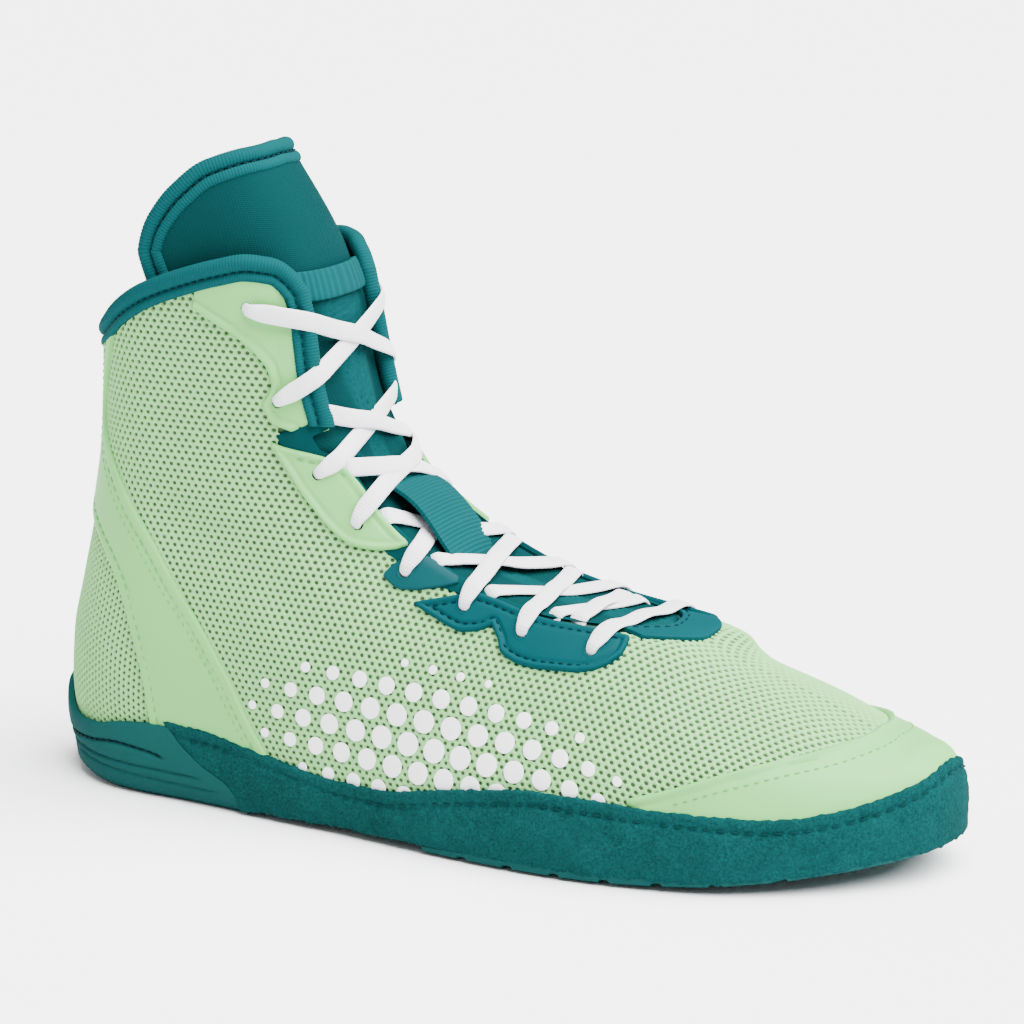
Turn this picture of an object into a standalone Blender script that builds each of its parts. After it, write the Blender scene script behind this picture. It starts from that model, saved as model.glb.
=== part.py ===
# Ankle-high boxing shoe for the right foot: laced, empty, standing on its sole
import math

import bmesh
import bpy
import numpy as np
from mathutils import Matrix

for old in list(bpy.data.objects):
    bpy.data.objects.remove(old, do_unlink=True)

MM = 0.001

# Driving sizes in millimetres; heel seat at x = 0, toe at +x, outer side of the foot at -y
LENGTH = 284.0          # length of the last
FEATHER = 8.0           # lower rim of the upper over the floor
WALL = 1.8              # wall of the upper
GAP = 0.35              # clearance between pieces that lie on each other
OVERLAY = 0.8           # synthetic overlays
SUEDE = 1.5             # suede rand
BOARD_TOP = 7.7         # top of all sole pieces
INSOLE = 3.0            # insole thickness
TONGUE_DEPTH = 3.2      # tongue's outer face under the upper's outer face
TONGUE = 3.0            # tongue thickness
LACE_WIDTH = 6.4
LACE_THICK = 1.4
LACE_RIDE = 1.95        # lace's under face over the upper's outer face
LACE_OVER_TAPE = 3.2    # the same where it crosses the collar's tape
LACE_SLACK = 0.5        # extra height of the lace between its ends
TOE_ROUND = 62.0        # length over which the toe's plan closes
TOE_POWER = 2.3
HEEL_ROUND = 48.0       # length over which the heel's plan closes
HEEL_POWER = 2.2
SPRING = 9.0            # toe spring at the tip
SPRING_FROM = 190.0     # where the toe spring starts
SEAM_Q = 0.324          # rand seams at the ball
SOLE_SPLIT_Q = 0.500    # forefoot rubber starts here


def curve(xs, ys):
    """Smooth curve through a short table that never overshoots it."""
    xs = np.asarray(xs, float)
    ys = np.asarray(ys, float)
    h = np.diff(xs)
    d = np.diff(ys) / h
    m = np.zeros(len(xs))
    m[0], m[-1] = d[0], d[-1]
    for i in range(1, len(xs) - 1):
        if d[i - 1] * d[i] > 0:
            m[i] = 2 * d[i - 1] * d[i] / (d[i - 1] + d[i])

    def value(x):
        x = np.asarray(x, float)
        c = np.clip(x, xs[0], xs[-1])
        i = np.clip(np.searchsorted(xs, c) - 1, 0, len(h) - 1)
        t = (c - xs[i]) / h[i]
        y = ((2 * t**3 - 3 * t**2 + 1) * ys[i] + (t**3 - 2 * t**2 + t) * h[i] * m[i]
             + (3 * t**2 - 2 * t**3) * ys[i + 1] + (t**3 - t**2) * h[i] * m[i + 1])
        return y + np.where(x < xs[0], m[0] * (x - xs[0]), 0) + np.where(x > xs[-1], m[-1] * (x - xs[-1]), 0)
    return value


def table(rows):
    return [np.array(c, float) for c in zip(*rows)]


def ease(t):
    t = np.clip(t, 0, 1)
    return t * t * (3 - 2 * t)


# Front line of the shoe in side view: height, x
FRONT = [(8, 284), (14, 283.6), (22, 282.2), (30, 278), (38, 268.5), (46, 253), (54, 234), (62, 213), (70, 193),
         (78, 173), (87, 152), (98, 132.5), (112, 117.5), (134, 105.5), (150, 100), (165, 96.5), (180, 93), (215, 86)]
# The tongue leans back over the collar: height, x
TONGUE_FRONT = FRONT[:11] + [(98, 131.5), (110, 115.5), (120, 104.5), (134, 99.5), (150, 95.5), (164, 90.5), (176, 84.5), (192, 74.5),
                              (215, 60)]
# Back line: height, x
BACK = [(8, 6), (18, 3), (28, 2), (42, 3), (60, 7.5), (85, 13.5), (110, 17.5), (135, 19), (165, 18), (215, 15)]
# Sole outline: x, centre y, half width
PLAN = [(0, 0, 30), (35, 0, 33), (70, -2.5, 33), (105, -4.5, 34.5), (140, -4.5, 39), (175, -2.5, 44.5), (200, 0, 46.5),
        (225, 3, 45.5), (250, 6, 41), (270, 8.5, 36), (284, 10, 32)]
# Shaft: height, half width
SHAFT = [(8, 31), (25, 34), (50, 32.5), (80, 30.5), (110, 31), (140, 33), (170, 35), (215, 36)]
# Roundness over the foot: x, two powers of the cross section
DOME = [(0, 2.0, 2.0), (110, 1.9, 1.9), (150, 1.7, 1.6), (200, 1.9, 1.8), (240, 2.4, 2.0), (284, 2.6, 2.1)]
# Throat edge: height, q
THROAT = [(66.8, 0.0), (67.5, 0.155), (68.4, 0.20), (70, 0.262), (72.4, 0.290), (76, 0.303), (81, 0.306), (90.5, 0.300),
          (99, 0.277), (105, 0.279), (109, 0.312), (113.5, 0.312), (117, 0.259), (123, 0.245), (131.4, 0.229),
          (140, 0.211), (148.5, 0.199), (156, 0.200)]
# Collar line: q, height
COLLAR = [(0.20, 154), (0.226, 158.7), (0.27, 162.1), (0.33, 163), (0.409, 161.2), (0.503, 157.8), (0.618, 152.4),
          (0.708, 146.5), (0.789, 140.5), (0.9, 136), (1.0, 134.5)]
# Rand's upper edge: q, height
RAND_TOP = [(0, 24.8), (0.018, 24.4), (0.085, 21.2), (0.139, 19.2), (0.19, 18), (0.24, 18.7), (0.286, 21), (0.333, 22.3),
            (0.37, 23.5), (0.408, 23.7), (0.438, 22.5), (0.493, 18.7), (0.534, 15.7), (0.575, 15.7), (0.608, 17.8),
            (0.643, 20.3), (0.689, 23.3), (0.72, 23.7)]
# Rand's lower edge: q, height
RAND_LOW = [(0, 3.3), (0.45, 3.3), (0.54, 2.2), (0.70, 2.2)]
# Joint of rand and heel cup: height, q
JOINT = [(0, 0.650), (4, 0.655), (8.1, 0.665), (12.6, 0.687), (18, 0.706), (24, 0.722)]
# Heel cup's upper edge: q, height
CUP_TOP = [(0.65, 22.5), (0.738, 22.3), (0.783, 21), (0.83, 18.6), (0.87, 18.2), (0.91, 20.2), (0.95, 25), (1.0, 28)]
# Toe cap's upper edge: q, height
CAP_TOP = [(0, 42), (0.091, 40.6), (0.174, 37.6), (0.26, 32.6), (0.315, 27.3), (0.345, 24.3)]
# Flat throat in side view: x, height
THROAT_LINE = [(99, 150), (101, 132), (102.2, 118), (104.6, 104.6), (109.8, 94.6), (118, 86.8), (129.2, 78.5), (140.4, 73.1),
               (148.5, 70), (156.6, 67.7), (165.6, 65.4), (175.8, 63.8), (186, 62.5), (197, 61.2), (207, 60.2), (217, 59), (230, 54.5)]
THROAT_EYE = (230.0, 190.0)     # point in front of the instep from which the throat's line is measured
CROWN = 3.0                     # the skin's rise over the throat's line
FLATTEST = 1 - 1e-9             # largest share of the crown that is still on the skin
TWIST = 13.0                    # inner flap's lead over the outer one
# Lowering of the vamp's crest: x, drop
VAMP_DROP = [(200, 0), (208, 0.6), (216, 2.6), (224, 4.0), (235, 4.7), (245, 5.6), (255, 7), (262, 7.6), (270, 6.8), (278, 3.4),
             (284, 0), (290, 0)]
VAMP_FOOT = 20.0                # height at which the lowering ends
# Eyelets from the collar to the toe: q, height
EYELETS = [(0.349, 149.5), (0.345, 122.1), (0.347, 101.4), (0.364, 87.6), (0.379, 75.4), (0.355, 67.5), (0.319, 62.3),
           (0.259, 59.4)]

back_x = curve(*table(BACK))
plan_x, plan_c, plan_w = table(PLAN)
centre_y = curve(plan_x, plan_c)
half_w = curve(plan_x, plan_w)
shaft_w = curve(*table(SHAFT))
dome_x, dome_a, dome_b = table(DOME)
dome_p = curve(dome_x, dome_a)
dome_r = curve(dome_x, dome_b)
throat_q = curve(*table(THROAT))
collar_z = curve(*table(COLLAR))
rand_top = curve(*table(RAND_TOP))
rand_low = curve(*table(RAND_LOW))
joint_q = curve(*table(JOINT))
cup_top = curve(*table(CUP_TOP))
cap_top = curve(*table(CAP_TOP))
vamp_drop = curve(*table(VAMP_DROP))


def spring(x):
    return SPRING * np.clip((x - SPRING_FROM) / (LENGTH - SPRING_FROM), 0, 1.2) ** 2


line_x, line_z = table(THROAT_LINE)
line_reach = curve(np.arctan2(THROAT_EYE[1] - line_z, THROAT_EYE[0] - line_x),
                   np.hypot(THROAT_EYE[1] - line_z, THROAT_EYE[0] - line_x))


def bend(x, z, change):
    """Move points along their ray from the throat's eye; change maps the rise over the throat's line."""
    dx, dz = THROAT_EYE[0] - x, THROAT_EYE[1] - z
    reach = np.hypot(dx, dz)
    line = line_reach(np.arctan2(dz, dx))
    rise = line - reach
    new = line - np.where(rise > 0, change(np.maximum(rise, 0)), rise)
    return THROAT_EYE[0] - dx * new / reach, THROAT_EYE[1] - dz * new / reach


def flap_lead(x, y, z):
    """Forward shift of the inner side over the instep."""
    return (TWIST * ease(y / 18) * ease((z - 45) / 20) * (1 - ease((z - 66) / 34)) * ease((x - 55) / 45)
            * (1 - ease((x - 205) / 40)))


class Form:
    """The shoe's skin: q runs round a level ring, 0 at the front, -1 and 1 at the back, negative on the outer side."""

    def __init__(self, front, full):
        self.front = curve(*table(front))
        self.full = full
        self.rz = np.linspace(FEATHER, 600, 6000)
        self.rx = self.front(np.minimum(self.rz, 215)) - np.maximum(self.rz - 215, 0) * (0.12 if full == 0 else 0.6)

    def crest(self, x):
        return np.interp(x, self.rx[::-1], self.rz[::-1])

    def squash(self, x):
        """Share by which heights over the vamp's foot shrink."""
        return np.where(x > 200, vamp_drop(x), 0) / np.maximum(self.crest(x) - VAMP_FOOT, 4)

    def centre(self, x, z):
        return centre_y(np.clip(x, 0, LENGTH)) * np.clip((x - 20) / 60, 0, 1) * (1 - ease((z - 35) / 70))

    def width(self, x, z):
        toe = np.clip((x - (LENGTH - TOE_ROUND)) / TOE_ROUND, 0, 1)
        foot = half_w(x) * (1 - toe**TOE_POWER) ** (1 / TOE_POWER)
        b = ease((z - 20) / 90)
        w = foot * (1 - b) + shaft_w(z) * b
        t = np.clip((z - FEATHER) / np.maximum(self.crest(x) - FEATHER, 1e-6), 0, 1)
        s = self.full * ease((z - 125) / 30)
        p = dome_p(x) * (1 - s) + 3.0 * s
        r = dome_r(x) * (1 - s) + 2.5 * s
        dome = (1 - t**p) ** (1 / r)
        rear = np.clip((HEEL_ROUND - x) / (HEEL_ROUND - back_x(z)), 0, 1)
        return w * dome * (1 - rear**HEEL_POWER) ** (1 / HEEL_POWER)

    def base(self, q, z):
        q = (q + 1) % 2 - 1
        zc = np.maximum(z, FEATHER)
        xf, xb = self.front(zc), back_x(zc)
        x = xb + (xf - xb) * (1 + np.cos(np.pi * q)) / 2
        y = self.centre(x, zc) + np.sign(q) * self.width(x, zc)
        x, z = bend(x, z, lambda rise: CROWN * (1 - np.exp(-rise / CROWN)))
        z = z - self.squash(x) * np.maximum(z - VAMP_FOOT, 0)
        x = x + flap_lead(x, y, z)
        return np.stack([x, y, z + spring(x)], -1)

    def unbent(self, p):
        """x, y and height on the round form of a point on or near the skin."""
        x, y, z = p[..., 0], p[..., 1], p[..., 2] - spring(p[..., 0])
        back = x
        for _ in range(12):
            back = x - flap_lead(back, y, z)
        k = self.squash(back)
        z = np.where(z > VAMP_FOOT, (z - k * VAMP_FOOT) / (1 - k), z)
        x, z = bend(back, z, lambda rise: -CROWN * np.log(1 - np.minimum(rise / CROWN, FLATTEST)))
        return x, y, z

    def __call__(self, q, z, out=0.0):
        q, z, out = np.broadcast_arrays(np.asarray(q, float), np.asarray(z, float), np.asarray(out, float))
        e = 4e-3
        du = self.base(q + e, z) - self.base(q - e, z)
        dz = self.base(q, z + 0.2) - self.base(q, z - 0.2)
        n = np.cross(du, dz)
        n /= np.linalg.norm(n, axis=-1, keepdims=True)
        return self.base(q, z) + n * out[..., None]

    def ring_q(self, x, z):
        xf, xb = self.front(z), back_x(z)
        return np.arccos(np.clip(2 * (x - xb) / (xf - xb) - 1, -1, 1)) / np.pi

    def outside(self, p):
        """Positive outside the skin, negative inside."""
        x, y, z = self.unbent(p)
        return np.abs(y - self.centre(x, z)) - self.width(x, np.maximum(z, FEATHER))


skin = Form(FRONT, 0.0)
tongue_skin = Form(TONGUE_FRONT, 1.0)

MINT = (0.53, 0.74, 0.45, 1)
TEAL = (0.008, 0.22, 0.21, 1)
WHITE = (0.82, 0.82, 0.86, 1)
DARK = (0.006, 0.15, 0.15, 1)


def add_object(name, verts, faces, colour, rough):
    """One named solid with its own material; verts in millimetres."""
    mesh = bpy.data.meshes.new(name)
    mesh.from_pydata([tuple(v) for v in np.asarray(verts) * MM], [], [tuple(int(i) for i in f) for f in faces])
    bm = bmesh.new()
    bm.from_mesh(mesh)
    bmesh.ops.remove_doubles(bm, verts=bm.verts, dist=0.00002)
    bmesh.ops.dissolve_degenerate(bm, edges=bm.edges, dist=0.00001)
    bmesh.ops.triangulate(bm, faces=bm.faces)
    bmesh.ops.recalc_face_normals(bm, faces=bm.faces)
    bm.to_mesh(mesh)
    bm.free()
    ob = bpy.data.objects.new(name, mesh)
    bpy.context.scene.collection.objects.link(ob)
    mat = bpy.data.materials.new(name)
    mat.use_nodes = True
    bsdf = mat.node_tree.nodes["Principled BSDF"]
    bsdf.inputs["Base Color"].default_value = colour
    bsdf.inputs["Roughness"].default_value = rough
    mesh.materials.append(mat)
    return ob


def sheet_solid(outer, inner):
    """Closed solid between two point grids of the same shape."""
    n, m = outer.shape[:2]
    k = n * m

    def at(i, j, side):
        return side * k + i * m + j
    faces = []
    for i in range(n - 1):
        for j in range(m - 1):
            faces.append((at(i, j, 0), at(i, j + 1, 0), at(i + 1, j + 1, 0), at(i + 1, j, 0)))
            faces.append((at(i, j, 1), at(i + 1, j, 1), at(i + 1, j + 1, 1), at(i, j + 1, 1)))
    rim = ([(0, j) for j in range(m)] + [(i, m - 1) for i in range(1, n)]
           + [(n - 1, j) for j in range(m - 2, -1, -1)] + [(i, 0) for i in range(n - 2, 0, -1)])
    for a, b in zip(rim, rim[1:] + rim[:1]):
        faces.append((at(*a, 0), at(*a, 1), at(*b, 1), at(*b, 0)))
    return np.concatenate([outer.reshape(-1, 3), inner.reshape(-1, 3)]), faces


def loft_solid(sections, closed_start, closed_end):
    """Closed solid through sections of equal point count; a section that folds to a line closes by itself."""
    n, m = len(sections), len(sections[0])
    faces = [(i * m + j, i * m + (j + 1) % m, (i + 1) * m + (j + 1) % m, (i + 1) * m + j)
             for i in range(n - 1) for j in range(m)]
    if closed_start:
        faces.append(tuple(range(m)))
    if closed_end:
        faces.append(tuple((n - 1) * m + j for j in range(m)))
    return np.concatenate(sections), faces


def overlay(name, first, last, side, low, high, across, colour, rough):
    """Panel on the skin ruled between two edges, each an array of q and height."""
    t = np.linspace(0, 1, across)[None, :]
    q = side * (first[:, 0:1] * (1 - t) + last[:, 0:1] * t)
    z = first[:, 1:2] * (1 - t) + last[:, 1:2] * t
    verts, faces = sheet_solid(skin(q, z, high), skin(q, z, low))
    return add_object(name, verts, faces, colour, rough)


def xz_to_qz(points):
    p = np.asarray(points, float)
    return np.stack([skin.ring_q(p[:, 0], p[:, 1]), p[:, 1]], -1)


# Upper: level rings, closed in front up to the throat's front edge and open above it
LOW_ROWS = [8, 12, 17.5, 23.5, 30, 36.5, 43, 49.5, 55.5, 61.5]
MID_ROWS = [70, 74, 79.5, 86, 93, 100, 106.5, 112]
TOP_STEPS = [0.16, 0.36, 0.57, 0.79, 1.0]
FRONT_COLUMNS = 4       # columns that end on the throat's front edge
BACK_COLUMNS = 16       # columns from the throat's corner to the back
THROAT_CORNER = 0.20
front_edge = curve([0, 0.06, 0.155, 0.20], [66.8, 66.9, 67.5, 68.4])
r = np.linspace(0, 1, BACK_COLUMNS + 1)
full_q = np.concatenate([THROAT_CORNER * np.linspace(0, 1, FRONT_COLUMNS + 1)[:-1], THROAT_CORNER + (1 - THROAT_CORNER) * r])
upper_q = [full_q for z in LOW_ROWS] + [full_q]
upper_z = [np.full_like(full_q, z) for z in LOW_ROWS] + [front_edge(np.minimum(full_q, THROAT_CORNER))]
lead = np.zeros(FRONT_COLUMNS)
for z in MID_ROWS:
    q0 = float(throat_q(z))
    upper_q.append(np.concatenate([lead + q0, q0 + (1 - q0) * r]))
    upper_z.append(np.full_like(full_q, z))
for f in TOP_STEPS:
    q0 = float(throat_q(112 + (154 - 112) * f))
    q = np.concatenate([lead + q0, q0 + (1 - q0) * r])
    upper_q.append(q)
    upper_z.append(112 + (collar_z(q) - 112) * f)
upper_q, upper_z = np.array(upper_q), np.array(upper_z)
# outer side from front to back, then inner side from back to front
ring_q = np.concatenate([-upper_q, upper_q[:, -2::-1]], 1)
ring_z = np.concatenate([upper_z, upper_z[:, -2::-1]], 1)
n_rows, n_cols = ring_q.shape
edge_row = len(LOW_ROWS)


def upper_faces():
    k, last = n_rows * n_cols, n_cols - 1

    def at(i, c, side):
        return side * k + i * n_cols + (0 if i <= edge_row and c == last else c)
    out = []

    def is_open(i, c):
        return i >= edge_row and (c < FRONT_COLUMNS or c >= last - FRONT_COLUMNS)
    for i in range(n_rows - 1):
        for c in range(last):
            if is_open(i, c):
                if i == edge_row:
                    out.append((at(i, c, 0), at(i, c + 1, 0), at(i, c + 1, 1), at(i, c, 1)))
                continue
            out.append((at(i, c, 0), at(i, c + 1, 0), at(i + 1, c + 1, 0), at(i + 1, c, 0)))
            out.append((at(i, c, 1), at(i + 1, c, 1), at(i + 1, c + 1, 1), at(i, c + 1, 1)))
    top = n_rows - 1
    for c in range(last):
        out.append((at(0, c, 0), at(0, c, 1), at(0, c + 1, 1), at(0, c + 1, 0)))
        if not is_open(top, c):
            out.append((at(top, c, 0), at(top, c + 1, 0), at(top, c + 1, 1), at(top, c, 1)))
    for i in range(edge_row, top):
        for c in (FRONT_COLUMNS, last - FRONT_COLUMNS):
            out.append((at(i, c, 0), at(i + 1, c, 0), at(i + 1, c, 1), at(i, c, 1)))
    return out


verts = np.concatenate([skin(ring_q, ring_z).reshape(-1, 3), skin(ring_q, ring_z, -WALL).reshape(-1, 3)])
faces = upper_faces()
used = sorted({i for f in faces for i in f})
index = {old: new for new, old in enumerate(used)}
add_object("upper", verts[used], [tuple(index[i] for i in f) for f in faces], MINT, 0.85)

# Soles: sections across the shoe, each a list of levels on both sides


def sole_section(levels):
    """levels: q, height, out for the outer side from the bottom up; mirrored for the inner side."""
    q, z, o = [np.array(c, float) for c in zip(*levels)]
    left = skin(-q, np.full_like(z, FEATHER), o)
    right = skin(q, np.full_like(z, FEATHER), o)
    for side in (left, right):
        side[:, 2] = z + spring(side[:, 0])
    return np.concatenate([left, right[::-1]])


# Forefoot rubber: tread on the floor, a ledge under the rand, the top under the upper
GROOVES_X = [158.0, 173.0, 188.0, 203.0, 218.0, 234.0, 250.0]
stops = [(x, 0.0) for x in (144.6, 150.0, 266.0, 274.0, 279.0, 282.0, 283.4, 284.0)]
for g in GROOVES_X:
    stops += [(g - 1.9, 0.0), (g - 1.2, 1.3), (g + 1.2, 1.3), (g + 1.9, 0.0)]
stops.sort()
sections = []
for x, dent in stops:
    q = float(skin.ring_q(np.array(x), np.array(FEATHER)))
    low = float(rand_low(q)) - GAP
    sections.append(sole_section([(q, dent, -0.6), (q, max(1.0, dent + 0.4), 1.6), (q, low, 1.8), (q, low, -0.05),
                                  (q, BOARD_TOP, -0.05)]))
verts, faces = loft_solid(sections, True, False)
add_object("outsole_forefoot", verts, faces, TEAL, 0.6)

# Heel cup: flat tread, bevelled edge, ribbed wall that stands outside the upper
sections = []
for s in np.linspace(0, 1, 15):
    s = 1 - (1 - s) ** 1.25
    top_q = joint_q(22.4) + (1 - joint_q(22.4)) * s
    top = float(cup_top(top_q))

    def at(z):
        j = float(joint_q(z)) + 0.003
        return j + (1 - j) * s
    bevel = 2.6 * float(ease((s - 0.45) / 0.5))
    levels = [(at(0), 0.0, -1.0 - 1.6 * bevel), (at(2), 1.6 + 0.5 * bevel, 1.3), (at(6), 6.0, 2.7)]
    for part, out in ((0.50, 3.1), (0.56, 2.5), (0.64, 3.0), (1.0, 2.2)):
        z = max(6.6 + part, top * part)
        levels.append((at(z), z, out))
    for part in (1.0, 0.66, 0.33, 0.0):
        z = BOARD_TOP + (top - BOARD_TOP) * part
        levels.append((at(z), z, GAP + 0.1))
    q, z, o = [np.array(c, float) for c in zip(*levels)]
    left, right = skin(-q, z, o), skin(q, z, o)
    left[:, 2], right[:, 2] = z, z
    sections.append(np.concatenate([left, right[::-1]]))
verts, faces = loft_solid(sections, True, False)
add_object("outsole_heel", verts, faces, TEAL, 0.55)

# Arch panel between the two rubber soles
sections = []
for q in np.linspace(SOLE_SPLIT_Q + 0.0035, float(joint_q(0)) - 0.004, 8):
    rise = 1.6 * math.sin(math.pi * (q - SOLE_SPLIT_Q) / 0.15) ** 2
    sections.append(sole_section([(q, 1.4 + rise, -2.5), (q, 2.4 + rise, -0.05), (q, BOARD_TOP, -0.05)]))
verts, faces = loft_solid(sections, True, True)
add_object("arch_panel", verts, faces, TEAL, 0.9)

# Insole
sections = []
for q in np.concatenate([1 - 0.5 * np.linspace(0, 1, 15) ** 1.3, np.linspace(0.5, 0, 15)[1:]]):
    sections.append(sole_section([(q, FEATHER, -WALL - 0.7), (q, FEATHER + INSOLE, -WALL - 0.7)]))
verts, faces = loft_solid(sections, False, False)
add_object("insole", verts, faces, DARK, 0.95)

# Rand: suede wall in three pieces
rows = np.linspace(0, 1, 4)
for name, side in (("rand_lateral", -1), ("rand_medial", 1)):
    s = np.linspace(0, 1, 19)[None, :]
    f = rows[:, None]
    start = SEAM_Q + 0.002
    foot_q = start + (float(joint_q(2.2)) - 0.004 - start) * s
    head_q = start + (float(joint_q(23.6)) - 0.004 - start) * s
    q = foot_q + (head_q - foot_q) * f
    z = rand_low(foot_q) + (rand_top(head_q) - rand_low(foot_q)) * f
    q = q + (joint_q(z) - 0.004 - q[:, -1:]) * s**6
    verts, faces = sheet_solid(skin(side * q, z, GAP + SUEDE), skin(side * q, z, GAP))
    add_object(name, verts, faces, TEAL, 0.95)
q = SEAM_Q * np.linspace(-1, 1, 25)[None, :] * np.ones((4, 1))
low, high = rand_low(np.abs(q)), rand_top(np.abs(q))
z = low + (high - low) * rows[:, None]
verts, faces = sheet_solid(skin(q, z, GAP + SUEDE), skin(q, z, GAP))
add_object("rand_toe", verts, faces, TEAL, 0.95)

# Toe cap above the rand
q = 0.338 * np.linspace(-1, 1, 27)[None, :] * np.ones((4, 1))
low, high = rand_top(np.abs(q)) + 0.6, cap_top(np.abs(q))
z = low + (high - low) * rows[:, None]
verts, faces = sheet_solid(skin(q, z, GAP + OVERLAY), skin(q, z, GAP))
add_object("toe_cap", verts, faces, MINT, 0.5)

# Heel band: rear q, rear height, front q, front height
HEEL_BAND = [(0.742, 26.0, 0.622, 22.8), (0.746, 33.5, 0.643, 31.5), (0.750, 42.9, 0.650, 40), (0.757, 53, 0.660, 51.7),
             (0.769, 63, 0.677, 65), (0.795, 70.5, 0.694, 77), (0.832, 76, 0.713, 84.2), (0.880, 80.5, 0.738, 91.2),
             (0.935, 84.5, 0.764, 96.8), (0.994, 88, 0.792, 101.5),
             (0.994, 97, 0.830, 108), (0.994, 107, 0.845, 114), (0.994, 116, 0.815, 122), (0.994, 126, 0.745, 133.5)]
band = np.array(HEEL_BAND)
OVER = (GAP, GAP + OVERLAY)
FRONT_OVER = (GAP + 0.2, GAP + 0.2 + OVERLAY)   # over the bend along the throat
for name, side in (("lateral", -1), ("medial", 1)):
    overlay("heel_band_" + name, band[:, 0:2], band[:, 2:4], side, GAP + 0.1, GAP + 0.1 + OVERLAY, 8, MINT, 0.5)

# Collar eyestay: binding side x, height, mesh side x, height
EYESTAY_COLLAR = [(63, 151.4, 61.5, 148.5), (70, 154, 68.5, 144.5), (77, 155.4, 75.9, 140), (81.5, 153.6, 80.5, 135.8),
                  (84.2, 149.5, 83.6, 131.4), (86.2, 143, 84.6, 128), (87.6, 136, 83.7, 124.2), (89.2, 128, 82.3, 121),
                  (90.6, 122, 84.2, 118), (92, 118, 90, 115.2)]
# Middle eyestay: x, lower height, upper height
EYESTAY_MID = [(84.9, 109.3, 110.1), (88, 104.8, 109.2), (92, 99, 108.3), (97, 92.6, 107.2), (102, 87.2, 105.4),
               (106, 84, 102.8), (110, 82, 98.8), (114, 81.2, 94.2), (118, 81, 89.6), (122, 81.4, 86), (125.5, 82.6, 83.6)]
# Smooth film at the fifth eyelet: x, lower height, upper height
EYESTAY_FILM = [(120.6, 74.2, 75.0), (123, 72.4, 77.6), (126.5, 71, 79.8), (130, 71, 80.6), (134.5, 71.6, 79.3),
                (139, 72.4, 76.8), (142.5, 73.4, 75.2)]
# Lower eyestay: x, lower height, upper height
EYESTAY_LOWER = [(131.2, 67.4, 67.9), (134, 66.1, 68.6), (138, 64.4, 69.4), (143, 62.4, 70.5), (147, 61.4, 71.6),
                 (151, 61.8, 71.0), (155.5, 63.6, 70.0), (158.5, 60.4, 69.2), (161, 57, 68.5), (166, 55.1, 67.2),
                 (173, 54.3, 66.1), (182, 54.3, 65.2), (188, 55, 64.5), (192, 56.6, 63.9), (195, 59, 63.2)]
collar = np.array(EYESTAY_COLLAR)
for name, side in (("lateral", -1), ("medial", 1)):
    overlay("eyestay_collar_" + name, xz_to_qz(collar[:, 0:2]), xz_to_qz(collar[:, 2:4]), side, *OVER, 5, MINT, 0.5)
    for part, rows_in, colour, across in (("mid", EYESTAY_MID, MINT, 4), ("film", EYESTAY_FILM, TEAL, 4),
                                          ("lower", EYESTAY_LOWER, TEAL, 5)):
        t = np.array(rows_in)
        overlay("eyestay_%s_%s" % (part, name), xz_to_qz(t[:, [0, 1]]), xz_to_qz(t[:, [0, 2]]), side, *FRONT_OVER,
                across, colour, 0.5)

# Stay round the front end of the throat
q = np.linspace(-0.150, 0.150, 11)[None, :] * np.ones((3, 1))
high = 66.4 + 0.5 * np.abs(q) / 0.15
z = high - 3.6 * (1 - np.linspace(0, 1, 3)[:, None])
verts, faces = sheet_solid(skin(q, z, GAP + OVERLAY), skin(q, z, GAP))
add_object("throat_stay", verts, faces, TEAL, 0.6)


def sweep_edge(name, form, q, z, into, profile, base_out, colour):
    """Sweep a profile of (distance into the panel, offset outwards) along an edge of a form."""
    p = form(q, z, base_out)
    n = form(q, z, base_out + 1.0) - p
    t = np.gradient(p, axis=0)
    t /= np.linalg.norm(t, axis=1, keepdims=True)
    d = np.cross(n, t) * into
    d /= np.linalg.norm(d, axis=1, keepdims=True)
    sections = [p[i] + d[i] * np.array(profile)[:, 0:1] + n[i] * np.array(profile)[:, 1:2] for i in range(len(p))]
    verts, faces = loft_solid(sections, True, True)
    return add_object(name, verts, faces, colour, 0.8)


# Collar binding: up the outer flap, round the collar, down the inner flap
flap_z = np.linspace(117.5, 151.5, 5)
flap_q = throat_q(flap_z)
top_q = np.concatenate([[0.2005, 0.209, 0.226, 0.248, 0.275], np.linspace(0.315, 0.96, 11)])
half_q = np.concatenate([flap_q, top_q])
half_z = np.concatenate([flap_z, collar_z(top_q)])
edge_q = np.concatenate([-half_q, [1.0], half_q[::-1]])
edge_z = np.concatenate([half_z, [collar_z(1.0)], half_z[::-1]])
BINDING = [(5.4, 0.5), (4.8, 1.3), (-0.4, 1.5), (-2.2, -0.9), (-0.4, -3.0), (2.6, -2.95), (2.6, -2.3), (-0.9, -2.3),
           (-0.9, 0.5)]
sweep_edge("collar_binding", skin, edge_q, edge_z, 1.0, BINDING, 0.0, TEAL)

# Tongue: a padded sheet under the throat that stands over the collar
TONGUE_ROWS = [57, 62, 66, 70, 75, 81, 88, 96, 105, 115, 126, 136]
TONGUE_STEPS = [0.17, 0.35, 0.53, 0.71, 0.86, 1.0]
tongue_half = curve([57, 62, 66, 70, 81, 96, 115, 136, 155, 168, 200],
                    [0.13, 0.20, 0.30, 0.35, 0.385, 0.375, 0.36, 0.42, 0.56, 0.59, 0.54])
tongue_top = curve([0, 0.3, 0.6, 0.8, 0.93, 1.0], [191.5, 190.3, 186.6, 179.3, 170.5, 163])
s = np.linspace(-1, 1, 11)
tongue_q, tongue_z = [], []
for z in TONGUE_ROWS:
    tongue_q.append(s * tongue_half(z))
    tongue_z.append(np.full_like(s, z))
for f in TONGUE_STEPS:
    z = 136 + (tongue_top(np.abs(s)) - 136) * f
    tongue_q.append(s * tongue_half(z))
    tongue_z.append(z)
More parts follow.
